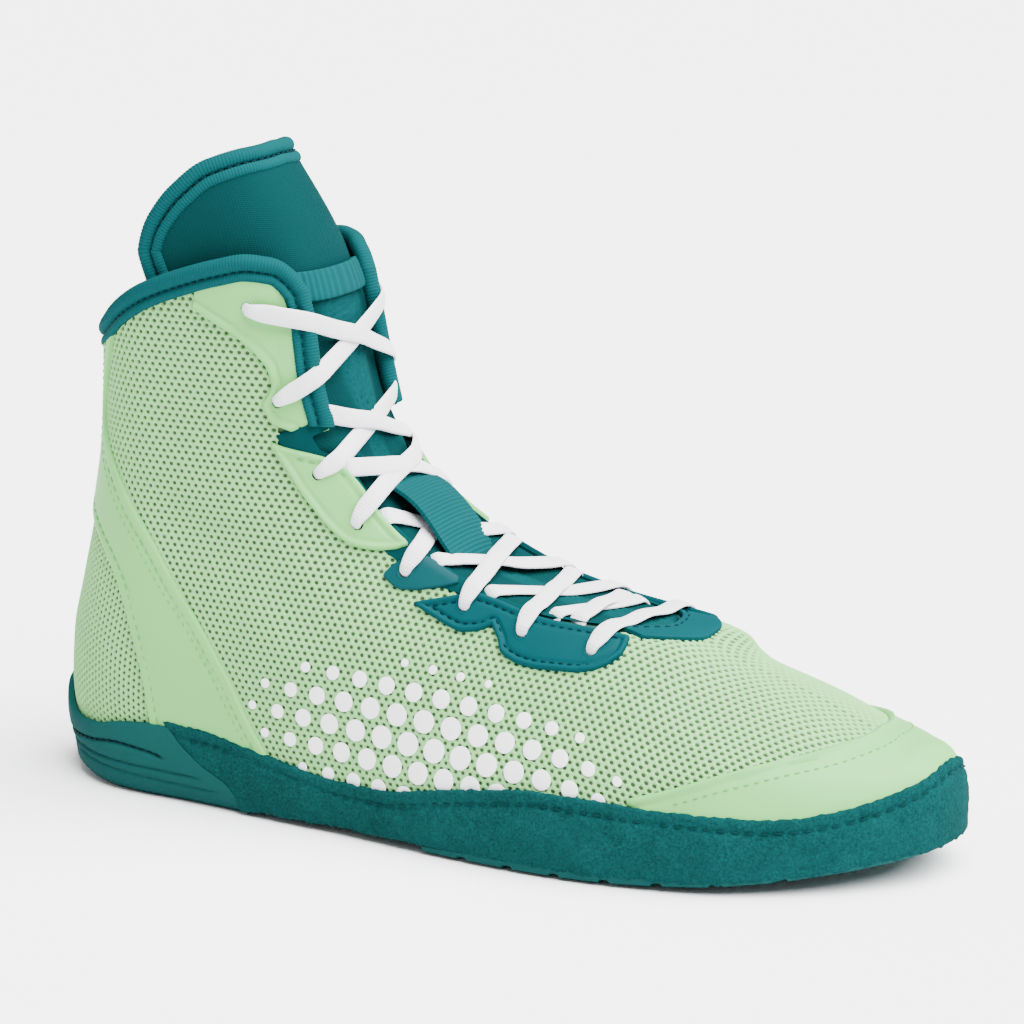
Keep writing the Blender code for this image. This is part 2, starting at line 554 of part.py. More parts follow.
tongue_q, tongue_z = np.array(tongue_q), np.array(tongue_z)
verts, faces = sheet_solid(tongue_skin(tongue_q, tongue_z, -TONGUE_DEPTH), tongue_skin(tongue_q, tongue_z, -TONGUE_DEPTH - TONGUE))
add_object("tongue", verts, faces, DARK, 0.9)

# Tongue binding: round tape along the tongue's free edge
s = np.linspace(-1, 1, 23)
side_f = np.array([0.62, 0.82])
edge_z = np.concatenate([136 + (tongue_top(1.0) - 136) * side_f, tongue_top(np.abs(s)),
                         136 + (tongue_top(1.0) - 136) * side_f[::-1]])
edge_q = np.concatenate([-tongue_half(edge_z[:2]), s * tongue_half(tongue_top(np.abs(s))), tongue_half(edge_z[-2:])])
bead = [(-2.5 + 2.1 * math.cos(a), 2.3 * math.sin(a)) for a in np.linspace(0, 2 * math.pi, 6)[:-1]]
sweep_edge("tongue_binding", tongue_skin, edge_q, edge_z, -1.0, bead, -TONGUE_DEPTH - TONGUE / 2, TEAL)


def lace_path(a, b, count):
    """Path over the skin from one eyelet to another, pushed out of the chord towards the mean normal."""
    pa, pb = skin(*a), skin(*b)
    aim = (skin(*a, 1.0) - pa) + (skin(*b, 1.0) - pb)
    aim /= np.linalg.norm(aim)
    chord = pa + (pb - pa) * np.linspace(0, 1, count)[:, None]
    low, high = np.zeros(count), np.full(count, 60.0)
    for _ in range(50):
        mid = (low + high) / 2
        out = skin.outside(chord + aim * mid[:, None]) > 0
        high = np.where(out, mid, high)
        low = np.where(out, low, mid)
    p = chord + aim * high[:, None]
    x, y, z = skin.unbent(p)
    q = np.sign(y - skin.centre(x, z)) * skin.ring_q(x, z)
    n = skin(q, z, 1.0) - skin(q, z)
    n[0], n[-1] = skin(*a, 1.0) - pa, skin(*b, 1.0) - pb
    p[0], p[-1] = pa, pb
    n = n / np.linalg.norm(n, axis=1, keepdims=True)
    return p, n


def lace_strap(a, b, ride, start, stop, count=7):
    """Flat strap from eyelet a towards eyelet b; start and stop are parts of the way between them."""
    p, n = lace_path(a, b, 81)
    t = np.gradient(p, axis=0)
    t /= np.linalg.norm(t, axis=1, keepdims=True)
    first, last = round(80 * start), round(80 * stop)
    bends = np.linalg.norm(np.diff(n, axis=0), axis=1)[first:last]
    share = np.concatenate([[0], np.cumsum(bends / bends.sum() + 1.0 / len(bends))]) / 2
    pick = first + np.round(np.interp(np.linspace(0, 1, count), share, np.arange(len(share)))).astype(int)
    p, n, t = p[pick], n[pick], t[pick]
    w = np.cross(n, t)
    w /= np.linalg.norm(w, axis=1, keepdims=True)
    p[0] -= (2.5 if start == 0 else 0.0) * t[0]
    h = LACE_WIDTH / 2
    height = np.full(count, ride + LACE_SLACK)
    height[0] = min(ride, LACE_RIDE + 0.35)
    across = np.array([-h, h, h, -h])[:, None]
    up = np.array([0, 0, LACE_THICK, LACE_THICK])[:, None]
    return loft_solid([p[i] + w[i] * across + n[i] * (height[i] + up) for i in range(count)], True, True)


# Lace: a bar at the toe end, then crossings up to the collar; a strap goes from its eyelet to the far flap's edge
bar = lace_strap((-EYELETS[7][0], EYELETS[7][1]), EYELETS[7], LACE_RIDE, 0.0, 1.0)
add_object("lace_bar", *bar, WHITE, 0.8)
for i in range(7, 0, -1):
    name = "lace_cross_%d" % (8 - i)
    q_from, z_from = EYELETS[i]
    q_to, z_to = np.array(EYELETS[i - 1]) * 0.92 + np.array(EYELETS[i]) * 0.08
    start = 0.0
    ride = LACE_RIDE if i > 2 else LACE_OVER_TAPE
    if i == 7:
        q_from, z_from = np.array(EYELETS[7]) * 0.55 + np.array(EYELETS[6]) * 0.45
        start, ride = 0.10, 1.45
    first = add_object(name, *lace_strap((-q_from, z_from), (q_to, z_to), ride + 0.4, start, 0.75), WHITE, 0.8)
    other = add_object(name + "_b", *lace_strap((q_from, z_from), (-q_to, z_to), ride, start, 0.75), WHITE, 0.8)
    other.hide_render = True
    other.display_type = "WIRE"
    mod = first.modifiers.new("join", "BOOLEAN")
    mod.operation = "UNION"
    mod.solver = "EXACT"
    mod.object = other

# Webbing loop over the lace on the instep
q = np.linspace(-0.19, 0.19, 9)[None, :] * np.ones((6, 1))
z = np.linspace(91, 107, 6)[:, None] * np.ones((1, 9))
ride = LACE_RIDE + LACE_SLACK + LACE_THICK + 0.8
verts, faces = sheet_solid(skin(q, z, ride + 1.2), skin(q, z, ride))
add_object("lace_keeper", verts, faces, TEAL, 0.85)

# Origin at the middle of the footprint, on the floor
corner = np.array([v.co[:] for ob in bpy.data.objects for v in ob.data.vertices])
shift = Matrix.Translation((-(corner[:, 0].min() + corner[:, 0].max()) / 2, -(corner[:, 1].min() + corner[:, 1].max()) / 2,
                            -corner[:, 2].min()))
for ob in bpy.data.objects:
    ob.data.transform(shift)
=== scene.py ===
import math

import bmesh
import bpy
import numpy as np
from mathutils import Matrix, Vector


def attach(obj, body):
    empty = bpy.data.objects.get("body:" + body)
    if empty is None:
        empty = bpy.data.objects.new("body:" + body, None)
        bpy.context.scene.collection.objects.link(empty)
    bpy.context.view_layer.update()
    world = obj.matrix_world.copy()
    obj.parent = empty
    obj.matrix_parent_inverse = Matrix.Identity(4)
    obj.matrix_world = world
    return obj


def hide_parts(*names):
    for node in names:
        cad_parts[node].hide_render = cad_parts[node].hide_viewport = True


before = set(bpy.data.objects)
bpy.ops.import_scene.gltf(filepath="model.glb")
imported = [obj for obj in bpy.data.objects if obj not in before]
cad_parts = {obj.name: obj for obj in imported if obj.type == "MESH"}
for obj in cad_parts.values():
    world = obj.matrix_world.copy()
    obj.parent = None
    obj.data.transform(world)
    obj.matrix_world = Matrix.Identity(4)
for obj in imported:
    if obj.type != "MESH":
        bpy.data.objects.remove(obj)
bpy.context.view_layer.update()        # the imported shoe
print("frame loaded:", len(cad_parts), "solids")

# sizes below are millimetres with the heel at x = 0; the frame's origin is under the middle of the sole
origin = {"scale": 0.001, "x": 142.825, "y": 0.66}

# the last: rows of height and x, of x and widths, or of q and height
last = {
    "length": 284.0, "feather": 8.0, "toeRound": 62.0, "toePower": 2.3, "heelRound": 48.0, "heelPower": 2.2,
    "spring": 9.0, "springFrom": 190.0,
    "front": [(8, 284), (14, 283.6), (22, 282.2), (30, 278), (38, 268.5), (46, 253), (54, 234), (62, 213),
              (70, 193), (78, 173), (87, 152), (98, 132.5), (112, 117.5), (134, 105.5), (150, 100),
              (165, 96.5), (180, 93), (215, 86)],
    "tongueFront": [(8, 284), (14, 283.6), (22, 282.2), (30, 278), (38, 268.5), (46, 253), (54, 234),
                    (62, 213), (70, 193), (78, 173), (87, 152), (98, 131.5), (110, 115.5), (120, 104.5),
                    (134, 99.5), (150, 95.5), (164, 90.5), (176, 84.5), (192, 74.5), (215, 60)],
    "back": [(8, 6), (18, 3), (28, 2), (42, 3), (60, 7.5), (85, 13.5), (110, 17.5), (135, 19), (165, 18),
             (215, 15)],
    "plan": [(0, 0, 30), (35, 0, 33), (70, -2.5, 33), (105, -4.5, 34.5), (140, -4.5, 39), (175, -2.5, 44.5),
             (200, 0, 46.5), (225, 3, 45.5), (250, 6, 41), (270, 8.5, 36), (284, 10, 32)],
    "shaft": [(8, 31), (25, 34), (50, 32.5), (80, 30.5), (110, 31), (140, 33), (170, 35), (215, 36)],
    "dome": [(0, 2.0, 2.0), (110, 1.9, 1.9), (150, 1.7, 1.6), (200, 1.9, 1.8), (240, 2.4, 2.0),
             (284, 2.6, 2.1)],
    # flat throat in side view, measured from an eye in front of the instep
    "throatLine": [(99, 150), (101, 132), (102.2, 118), (104.6, 104.6), (109.8, 94.6), (118, 86.8),
                   (129.2, 78.5), (140.4, 73.1), (148.5, 70), (156.6, 67.7), (165.6, 65.4), (175.8, 63.8),
                   (186, 62.5), (197, 61.2), (207, 60.2), (217, 59), (230, 54.5)],
    "throatEye": (230.0, 190.0), "crown": 3.0, "flattest": 1 - 1e-9,
    # inner flap's lead, then start and length of its ramps over width, height and length
    "lead": {"by": 13.0, "side": (0, 18), "low": (45, 20), "high": (66, 34), "rear": (55, 45),
             "front": (205, 40)},
    # lowering of the vamp's crest: x, drop
    "vampDrop": [(200, 0), (208, 0.6), (216, 2.6), (224, 4.0), (235, 4.7), (245, 5.6), (255, 7), (262, 7.6),
                 (270, 6.8), (278, 3.4), (284, 0), (290, 0)], "vampFoot": 20.0,
    # soft troughs and ridges: x, height, half length, half width, turn in degrees, depth
    "creases": [(232, 44, 26, 5, -18, 0.7), (214, 40, 20, 5, -8, 0.5), (120, 96, 16, 6, 40, 0.6),
                (64, 108, 22, 9, 12, 0.7), (56, 84, 26, 9, -25, 0.8), (96, 62, 22, 8, -40, 0.6),
                (40, 44, 18, 8, -62, 0.6), (150, 34, 30, 8, 8, 0.5)],
}


def smoothCurve(rows, column=1):
    # monotone cubic through the rows, first column against the given one, straight beyond the ends
    xs = np.array([row[0] for row in rows], float)
    ys = np.array([row[column] for row in rows], float)
    step = np.diff(xs)
    rise = np.diff(ys) / step
    slope = np.concatenate([rise[:1], np.zeros(len(xs) - 2), rise[-1:]])
    same = rise[:-1] * rise[1:] > 0
    inner = 2 * rise[:-1] * rise[1:] / np.where(same, rise[:-1] + rise[1:], 1)
    slope[1:-1] = np.where(same, inner, 0)

    def value(x):
        x = np.asarray(x, float)
        c = np.clip(x, xs[0], xs[-1])
        i = np.clip(np.searchsorted(xs, c) - 1, 0, len(step) - 1)
        t = (c - xs[i]) / step[i]
        y = ((2 * t**3 - 3 * t**2 + 1) * ys[i] + (t**3 - 2 * t**2 + t) * step[i] * slope[i]
             + (3 * t**2 - 2 * t**3) * ys[i + 1] + (t**3 - t**2) * step[i] * slope[i + 1])
        return y + slope[0] * np.minimum(x - xs[0], 0) + slope[-1] * np.maximum(x - xs[-1], 0)
    return value


def ease(t):
    # smooth step: three t squared less two t cubed
    t = np.clip(t, 0, 1)
    return t * t * (3 - 2 * t)


def ramp(x, start, length):
    # 0 up to the start, 1 past the length, a smooth step between
    return ease((x - start) / length)


backX = smoothCurve(last["back"])
planCentre, planHalf = smoothCurve(last["plan"]), smoothCurve(last["plan"], 2)
shaftHalf = smoothCurve(last["shaft"])
domeUp, domeIn = smoothCurve(last["dome"]), smoothCurve(last["dome"], 2)


def toeSpring(x):
    # lift of the toe: the square of the way past the ball
    run = (x - last["springFrom"]) / (last["length"] - last["springFrom"])
    return last["spring"] * np.clip(run, 0, 1.2) ** 2


def creaseOut(x, z):
    # sum of stretched bell shapes, each turned in side view
    out = np.zeros(np.broadcast(x, z).shape)
    for cx, cz, long, wide, turn, depth in last["creases"]:
        c, s = math.cos(math.radians(turn)), math.sin(math.radians(turn))
        a, b = (x - cx) * c + (z - cz) * s, (z - cz) * c - (x - cx) * s
        bell = np.exp(-(a / long) ** 2) * np.exp(-(b / (1.6 * wide)) ** 2)
        out = out - depth * bell * np.cos(1.6 * b / wide)
    return out


eyeX, eyeZ = last["throatEye"]
lineX, lineZ = np.array(last["throatLine"]).T
lineTurn, lineFar = np.arctan2(eyeZ - lineZ, eyeX - lineX), np.hypot(eyeZ - lineZ, eyeX - lineX)
lineReach = smoothCurve(list(zip(lineTurn, lineFar)))


def bend(x, z, change):
    # moves points along their ray from the eye; change maps the rise over the throat's line
    dx, dz = eyeX - x, eyeZ - z
    reach = np.hypot(dx, dz)
    line = lineReach(np.arctan2(dz, dx))
    rise = line - reach
    new = line - np.where(rise > 0, change(np.maximum(rise, 0)), rise)
    return eyeX - dx * new / reach, eyeZ - dz * new / reach


def flapLead(x, y, z):
    # forward shift of the inner side over the instep: a product of ramps
    lead = last["lead"]
    level = ramp(z, *lead["low"]) * (1 - ramp(z, *lead["high"]))
    length = ramp(x, *lead["rear"]) * (1 - ramp(x, *lead["front"]))
    return lead["by"] * ramp(y, *lead["side"]) * level * length


vampDrop = smoothCurve(last["vampDrop"])
crestZ = np.linspace(last["feather"], 90, 900)[::-1]
crestX = smoothCurve(last["front"])(crestZ)


def vampSquash(x):
    # share by which heights over the vamp's foot shrink
    return np.where(x > 200, vampDrop(x), 0) / np.maximum(np.interp(x, crestX, crestZ) - last["vampFoot"], 4)


def shapeThroat(x, y, z):
    # round form to worn form: the crest sinks to the flat throat, the vamp drops, the inner flap leads
    x, z = bend(x, z, lambda rise: last["crown"] * (1 - np.exp(-rise / last["crown"])))
    z = z - vampSquash(x) * np.maximum(z - last["vampFoot"], 0)
    x = x + flapLead(x, y, z)
    return np.stack([x, y, z + toeSpring(x)], -1)


def roundThroat(p):
    # x, y and height on the round form of a point on or near the skin
    x, y, z = p[..., 0], p[..., 1], p[..., 2] - toeSpring(p[..., 0])
    back = x
    for _ in range(12):
        back = x - flapLead(back, y, z)
    k = vampSquash(back)
    z = np.where(z > last["vampFoot"], (z - k * last["vampFoot"]) / (1 - k), z)
    crown = last["crown"]
    x, z = bend(back, z, lambda rise: -crown * np.log(1 - np.minimum(rise / crown, last["flattest"])))
    return x, y, z


class LastForm:
    # a skin point is (q, z): q runs round a level ring from the front (0) to the back (1),
    # and is minus on the outer side

    def __init__(self, front, lean):
        self.frontX = smoothCurve(front)
        self.lean = lean
        height = np.linspace(last["feather"], 600, 6000)
        x = self.frontX(np.minimum(height, 215)) - np.maximum(height - 215, 0) * (0.6 if lean else 0.12)
        self.crestX, self.crestZ = x[::-1], height[::-1]

    def crest(self, x):
        # height of the front line over x
        return np.interp(x, self.crestX, self.crestZ)

    def centre(self, x, z):
        # the plan's middle line, fading with height
        sway = planCentre(np.clip(x, 0, last["length"])) * np.clip((x - 20) / 60, 0, 1)
        return sway * (1 - ramp(z, 35, 70))

    def halfWidth(self, x, z):
        # plan width closed by superellipses at toe and heel, mixed into the shaft's, under a power dome
        toe = np.clip((x - last["length"] + last["toeRound"]) / last["toeRound"], 0, 1)
        foot = planHalf(x) * (1 - toe ** last["toePower"]) ** (1 / last["toePower"])
        mix = ramp(z, 20, 90)
        wide = foot * (1 - mix) + shaftHalf(z) * mix
        t = np.clip((z - last["feather"]) / np.maximum(self.crest(x) - last["feather"], 1e-6), 0, 1)
        full = self.lean * ramp(z, 125, 30)
        up, into = domeUp(x) * (1 - full) + 3.0 * full, domeIn(x) * (1 - full) + 2.5 * full
        rear = np.clip((last["heelRound"] - x) / (last["heelRound"] - backX(z)), 0, 1)
        return wide * (1 - t**up) ** (1 / into) * (1 - rear ** last["heelPower"]) ** (1 / last["heelPower"])

    def base(self, q, z):
        # x is a cosine of q between back and front, y lies half a width off the middle line
        q = (q + 1) % 2 - 1
        level = np.maximum(z, last["feather"])
        front, back = self.frontX(level), backX(level)
        x = back + (front - back) * (1 + np.cos(np.pi * q)) / 2
        y = self.centre(x, level) + np.sign(q) * self.halfWidth(x, level)
        return shapeThroat(x, y, z)

    def normal(self, q, z):
        # cross product of a small step round and a small step up
        q, z = np.broadcast_arrays(np.asarray(q, float), np.asarray(z, float))
        around = self.base(q + 4e-3, z) - self.base(q - 4e-3, z)
        upward = self.base(q, z + 0.2) - self.base(q, z - 0.2)
        n = np.cross(around, upward)
        return n / np.linalg.norm(n, axis=-1, keepdims=True)

    def at(self, q, z, out=0.0):
        # the base moved out along its normal, creases added
        q, z, out = np.broadcast_arrays(np.asarray(q, float), np.asarray(z, float), np.asarray(out, float))
        p = self.base(q, z)
        crease = 0 if self.lean else creaseOut(p[..., 0], z)
        return p + self.normal(q, z) * (out + crease)[..., None]

    def ringQ(self, x, z):
        # q of a place x on a level ring, the cosine of base turned back
        front, back = self.frontX(z), backX(z)
        return np.arccos(np.clip(2 * (x - back) / (front - back) - 1, -1, 1)) / np.pi


skin, tongueSkin = LastForm(last["front"], 0.0), LastForm(last["tongueFront"], 1.0)

# edges on the skin: height and q for the throat, q and height for the rest
lines = {
    "throat": [(66.8, 0.0), (67.5, 0.155), (68.4, 0.20), (70, 0.262), (72.4, 0.290), (76, 0.303),
               (81, 0.306), (90.5, 0.300), (99, 0.277), (105, 0.279), (108.6, 0.312), (111.8, 0.312),
               (115.2, 0.261), (123, 0.245), (131.4, 0.229), (140, 0.211), (148.5, 0.199), (156, 0.200)],
    "collar": [(0.20, 154), (0.226, 158.7), (0.27, 162.1), (0.33, 163), (0.409, 161.2), (0.503, 157.8),
               (0.618, 152.4), (0.708, 146.5), (0.789, 140.5), (0.9, 136), (1.0, 134.5)],
    "randTop": [(0, 24.8), (0.018, 24.4), (0.085, 21.2), (0.139, 19.2), (0.19, 18), (0.24, 18.7),
                (0.286, 21), (0.333, 22.3), (0.37, 23.5), (0.408, 23.7), (0.438, 22.5), (0.493, 18.7),
                (0.534, 15.7), (0.575, 15.7), (0.608, 17.8), (0.643, 20.3), (0.689, 23.3), (0.72, 23.7)],
    "randLow": [(0, 1.1), (0.25, 1.2), (0.34, 2.0), (0.45, 2.4), (0.54, 2.2), (0.62, 1.8), (0.66, 0.8)],
    "joint": [(0, 0.650), (4, 0.655), (8.1, 0.665), (12.6, 0.687), (18, 0.706), (24, 0.722)],
    "cupTop": [(0.65, 22.5), (0.738, 22.3), (0.783, 21), (0.83, 18.6), (0.87, 18.2), (0.91, 20.2),
               (0.95, 25), (1.0, 28)],
    "capTop": [(0, 42), (0.091, 40.6), (0.174, 37.6), (0.26, 32.6), (0.315, 27.3), (0.345, 24.3)],
    # eyelets from the collar to the toe
    "eyelets": [(0.349, 149.5), (0.345, 122.1), (0.347, 101.4), (0.364, 87.6), (0.379, 75.4), (0.355, 67.5),
                (0.319, 62.3), (0.259, 59.4)],
}
throatQ, collarZ, randTop, randLow, jointQ, cupTop, capTop = [
    smoothCurve(lines[name]) for name in ("throat", "collar", "randTop", "randLow", "joint", "cupTop",
                                          "capTop")]
sides = {"lateral": -1, "medial": 1}


# mesh helpers

def toRow(points):
    # millimetres from the heel to the frame's metres
    p = np.asarray(points, float).reshape(-1, 3)
    return (p - [origin["x"], origin["y"], 0]) * origin["scale"]


def gridFaces(n, m, wrap=False):
    # quads of an n by m grid, row after row; wrap closes the second direction
    i, j = np.meshgrid(np.arange(n - 1), np.arange(m if wrap else m - 1), indexing="ij")
    k = (j + 1) % m
    return np.stack([i * m + j, i * m + k, (i + 1) * m + k, (i + 1) * m + j], -1).reshape(-1, 4)


def facing(points, faces, outward):
    # turns the faces so that they look the same way as the outward vectors
    p, o = points.reshape(-1, 3), outward.reshape(-1, 3)
    n = np.cross(p[faces[:, 2]] - p[faces[:, 0]], p[faces[:, 3]] - p[faces[:, 1]])
    return faces if (n * o[faces[:, 0]]).sum() > 0 else faces[:, ::-1]


def addPiece(name, points, faces, material, slot, stands=(), marks=None, closed=False, merge=0.0, sharp=40):
    # one smooth mesh in the frame's metres that rides on the shoe and stands for the named solids
    mesh = bpy.data.meshes.new(name)
    mesh.from_pydata(toRow(points).tolist(), [], [list(f) for f in faces])
    for label, values in (marks or {}).items():
        layer = mesh.attributes.new(label, "FLOAT_VECTOR" if values.ndim == 2 else "FLOAT", "POINT")
        layer.data.foreach_set("vector" if values.ndim == 2 else "value", values.astype(np.float32).ravel())
    if closed or merge:
        work = bmesh.new()
        work.from_mesh(mesh)
        if merge:
            bmesh.ops.remove_doubles(work, verts=work.verts, dist=merge)
        if closed:
            bmesh.ops.recalc_face_normals(work, faces=work.faces)
        work.to_mesh(mesh)
        work.free()
    mesh.shade_smooth()
    if sharp:
        mesh.set_sharp_from_angle(angle=math.radians(sharp))
    mesh.materials.append(material)
    piece = bpy.data.objects.new(name, mesh)
    bpy.context.scene.collection.objects.link(piece)
    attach(piece, "root")
    if stands:
        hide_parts(*stands)
    return piece


def sweep(points, wide, tall, profile):
    # carries closed profiles, one or one per station, along a path; wide and tall are their two directions
    profile = np.broadcast_to(profile, (len(points), *np.shape(profile)[-2:]))
    p = points[:, None] + wide[:, None] * profile[..., :1] + tall[:, None] * profile[..., 1:]
    n, m = p.shape[:2]
    faces = [list(f) for f in gridFaces(n, m, True)]
    return p, faces + [list(range(m))[::-1], list(range((n - 1) * m, n * m))]


def unit(v):
    return v / np.maximum(np.linalg.norm(v, axis=-1, keepdims=True), 1e-9)


def lumps(points, size, seed, waves=9):
    # soft noise between about -1 and 1: a sum of sine waves in random directions
    rng = np.random.default_rng(seed)
    k = unit(rng.normal(size=(waves, 3))) * rng.uniform(0.6, 1.7, (waves, 1)) * 2 * np.pi / size
    phase = rng.uniform(0, 2 * np.pi, waves)
    return np.sin(points @ k.T + phase).sum(-1) / math.sqrt(waves)


def lengthAlong(points):
    # running length of a line of points
    return np.concatenate([[0], np.cumsum(np.linalg.norm(np.diff(points, axis=0), axis=1))])


def softened(values, width):
    # running mean under a bell, the ends held
    bell = np.hanning(width) / np.hanning(width).sum()
    columns = values.reshape(len(values), -1).T
    out = [np.convolve(np.pad(column, width // 2, "edge"), bell, "valid") for column in columns]
    return np.stack(out, -1).reshape(values.shape)


def readTable(table, i, j):
    # value between four neighbours of a table, by parts of a step along both directions
    i0, j0 = np.minimum(i.astype(int), len(table) - 2), j.astype(int)
    a, b = i - i0, j - j0
    return (table[i0, j0] * (1 - a) * (1 - b) + table[i0 + 1, j0] * a * (1 - b)
            + table[i0, j0 + 1] * (1 - a) * b + table[i0 + 1, j0 + 1] * a * b)


def joinParts(parts):
    # one list of points and one of faces from many small ones
    base = np.cumsum([0] + [len(p) for p, f in parts[:-1]])
    return np.concatenate([p for p, f in parts]), np.concatenate([f + b for (p, f), b in zip(parts, base)])


def tubeFaces(n, m):
    # a flattened tube of n rows and m points round it, its ends closed by quads between its two faces
    faces = gridFaces(n, m, True).tolist()
    i = np.arange(m // 2 - 1)
    for first in (0, (n - 1) * m):
        faces += (first + np.stack([i, i + 1, m - 2 - i, m - 1 - i], -1)).tolist()
    return faces


def cellGrid(columns, rows, pitch, row):
    # whole columns and rows, and their centres; every second row moves by half a pitch
    cells = np.stack(np.meshgrid(columns, rows, indexing="ij"), -1).reshape(-1, 2)
    return cells, *cellCentre(cells, pitch, row)


def cellCentre(cells, pitch, row):
    return (cells[:, 0] + 0.5 * (cells[:, 1] % 2)) * pitch, cells[:, 1] * row


def throatEdge(z):
    # the throat's half width in q, held beyond its ends
    return throatQ(np.clip(z, lines["throat"][0][0], lines["throat"][-1][0]))


# shader groups that several finishes share

sockets = {"vector": "NodeSocketVector", "colour": "NodeSocketColor", "value": "NodeSocketFloat"}


def newGroup(name, inputs, outputs):
    group = bpy.data.node_groups.new(name, "ShaderNodeTree")
    for label, kind, value in inputs:
        socket = group.interface.new_socket(label, in_out="INPUT", socket_type=sockets[kind])
        if value is not None:
            socket.default_value = value
    for label, kind in outputs:
        group.interface.new_socket(label, in_out="OUTPUT", socket_type=sockets[kind])
    return group, group.nodes.new("NodeGroupInput"), group.nodes.new("NodeGroupOutput")


def addNode(tree, kind, values=None, **settings):
    node = tree.nodes.new(kind)
    for key, value in settings.items():
        setattr(node, key, value)
    for key, value in (values or {}).items():
        node.inputs[key].default_value = value
    return node


def mathNode(tree, operation, a, b=None, clamp=False):
    # a and b are sockets or plain numbers
    node = addNode(tree, "ShaderNodeMath", operation=operation, use_clamp=clamp)
    for slot, value in enumerate((a, b)):
        if hasattr(value, "is_output"):
            tree.links.new(value, node.inputs[slot])
        elif value is not None:
            node.inputs[slot].default_value = value
    return node.outputs[0]


def makeToneDrift():
    # slow light and dark patches over a colour
    takes = [("Vector", "vector", None), ("Colour", "colour", None), ("Scale", "value", 60.0),
             ("Drift", "value", 0.1)]
    group, given, put = newGroup("toneDrift", takes, [("Colour", "colour")])
    noise = addNode(group, "ShaderNodeTexNoise", {"Detail": 3.0})
    group.links.new(given.outputs["Vector"], noise.inputs["Vector"])
    group.links.new(given.outputs["Scale"], noise.inputs["Scale"])
    centred = mathNode(group, "SUBTRACT", noise.outputs["Fac"], 0.5)
    swing = mathNode(group, "MULTIPLY", centred, given.outputs["Drift"])
    tone = addNode(group, "ShaderNodeHueSaturation")
    value = mathNode(group, "ADD", mathNode(group, "MULTIPLY", swing, 2.0), 1.0)
    group.links.new(value, tone.inputs["Value"])
    group.links.new(given.outputs["Colour"], tone.inputs["Color"])
    group.links.new(tone.outputs["Color"], put.inputs["Colour"])
    return group


def makeFineGrain():
    # pebbled grain: small cells under finer noise; the finer noise is also put out as painted shade for the
    # grain's low parts
    takes = [("Vector", "vector", None), ("Scale", "value", 900.0)]
    group, given, put = newGroup("fineGrain", takes, [("Height", "value"), ("Mask", "value")])
    cells = addNode(group, "ShaderNodeTexVoronoi", feature="SMOOTH_F1")
    noise = addNode(group, "ShaderNodeTexNoise", {"Detail": 4.0})
    for texture, factor in ((cells, 1.0), (noise, 2.3)):
        group.links.new(given.outputs["Vector"], texture.inputs["Vector"])
        group.links.new(mathNode(group, "MULTIPLY", given.outputs["Scale"], factor), texture.inputs["Scale"])
    pebble = mathNode(group, "MULTIPLY", cells.outputs["Distance"], 0.7)
    mixed = mathNode(group, "ADD", pebble, noise.outputs["Fac"])
    group.links.new(mixed, put.inputs["Height"])
    group.links.new(noise.outputs["Fac"], put.inputs["Mask"])
    return group


def makeSuedeNap():
    # brushed fibres: fine flecks, clumps and slow strokes; the shade output is partly random tone and partly
    # painted shade, darker where the fibres are low
    takes = [("Vector", "vector", None), ("Scale", "value", 1500.0)]
    group, given, put = newGroup("suedeNap", takes, [("Height", "value"), ("Shade", "value")])
    layers = []
    for factor, detail in ((1.0, 5.0), (0.3, 3.0), (0.06, 2.0)):
        noise = addNode(group, "ShaderNodeTexNoise", {"Detail": detail, "Roughness": 0.7})
        group.links.new(given.outputs["Vector"], noise.inputs["Vector"])
        group.links.new(mathNode(group, "MULTIPLY", given.outputs["Scale"], factor), noise.inputs["Scale"])
        layers.append(noise.outputs["Fac"])
    height = mathNode(group, "ADD", layers[0], mathNode(group, "MULTIPLY", layers[1], 0.8))
    flecks = mathNode(group, "MULTIPLY", mathNode(group, "SUBTRACT", layers[0], 0.5), 2.6)
    clumps, strokes = [mathNode(group, "MULTIPLY", layer, 0.55) for layer in layers[1:]]
    shade = mathNode(group, "ADD", mathNode(group, "ADD", clumps, strokes), flecks)
    group.links.new(height, put.inputs["Height"])
    group.links.new(mathNode(group, "ADD", shade, 0.0, True), put.inputs["Shade"])
    return group


def makeThreadRibs():
    # ribs along the first direction of the pattern crossed by finer ones along the second; the shade output
    # is low between the ribs, where it gives painted shade
    takes = [("Pattern", "vector", None), ("Pitch", "value", 1.0), ("Cross pitch", "value", 0.6),
             ("Cross", "value", 0.5)]
    group, given, put = newGroup("threadRibs", takes, [("Height", "value"), ("Shade", "value")])
    parts = addNode(group, "ShaderNodeSeparateXYZ")
    group.links.new(given.outputs["Pattern"], parts.inputs[0])
    waves = []
    for axis, pitch in (("X", "Pitch"), ("Y", "Cross pitch")):
        way = mathNode(group, "MULTIPLY", parts.outputs[axis], 2 * math.pi)
        wave = mathNode(group, "SINE", mathNode(group, "DIVIDE", way, given.outputs[pitch]))
        waves.append(mathNode(group, "MULTIPLY", mathNode(group, "ADD", wave, 1.0), 0.5))
    crossed = mathNode(group, "MULTIPLY", waves[1], given.outputs["Cross"])
    height = mathNode(group, "ADD", waves[0], crossed)
    group.links.new(height, put.inputs["Height"])
    group.links.new(mathNode(group, "MULTIPLY", height, 0.66, True), put.inputs["Shade"])
    return group


toneDrift, fineGrain = makeToneDrift(), makeFineGrain()
suedeNap, threadRibs = makeSuedeNap(), makeThreadRibs()
# what a finish has where its own row says nothing
plainLook = {"relief": "grain", "specular": 0.4, "sheen": 0.0, "drift": 0.06, "driftScale": 55.0,
             "cross": 0.5, "hollowShade": 0.2, "hollowShadeTint": (0.25, 0.3, 0.3), "roughSpread": 0.12, "bump": 0.3,
             "bumpDeep": 0.0002}


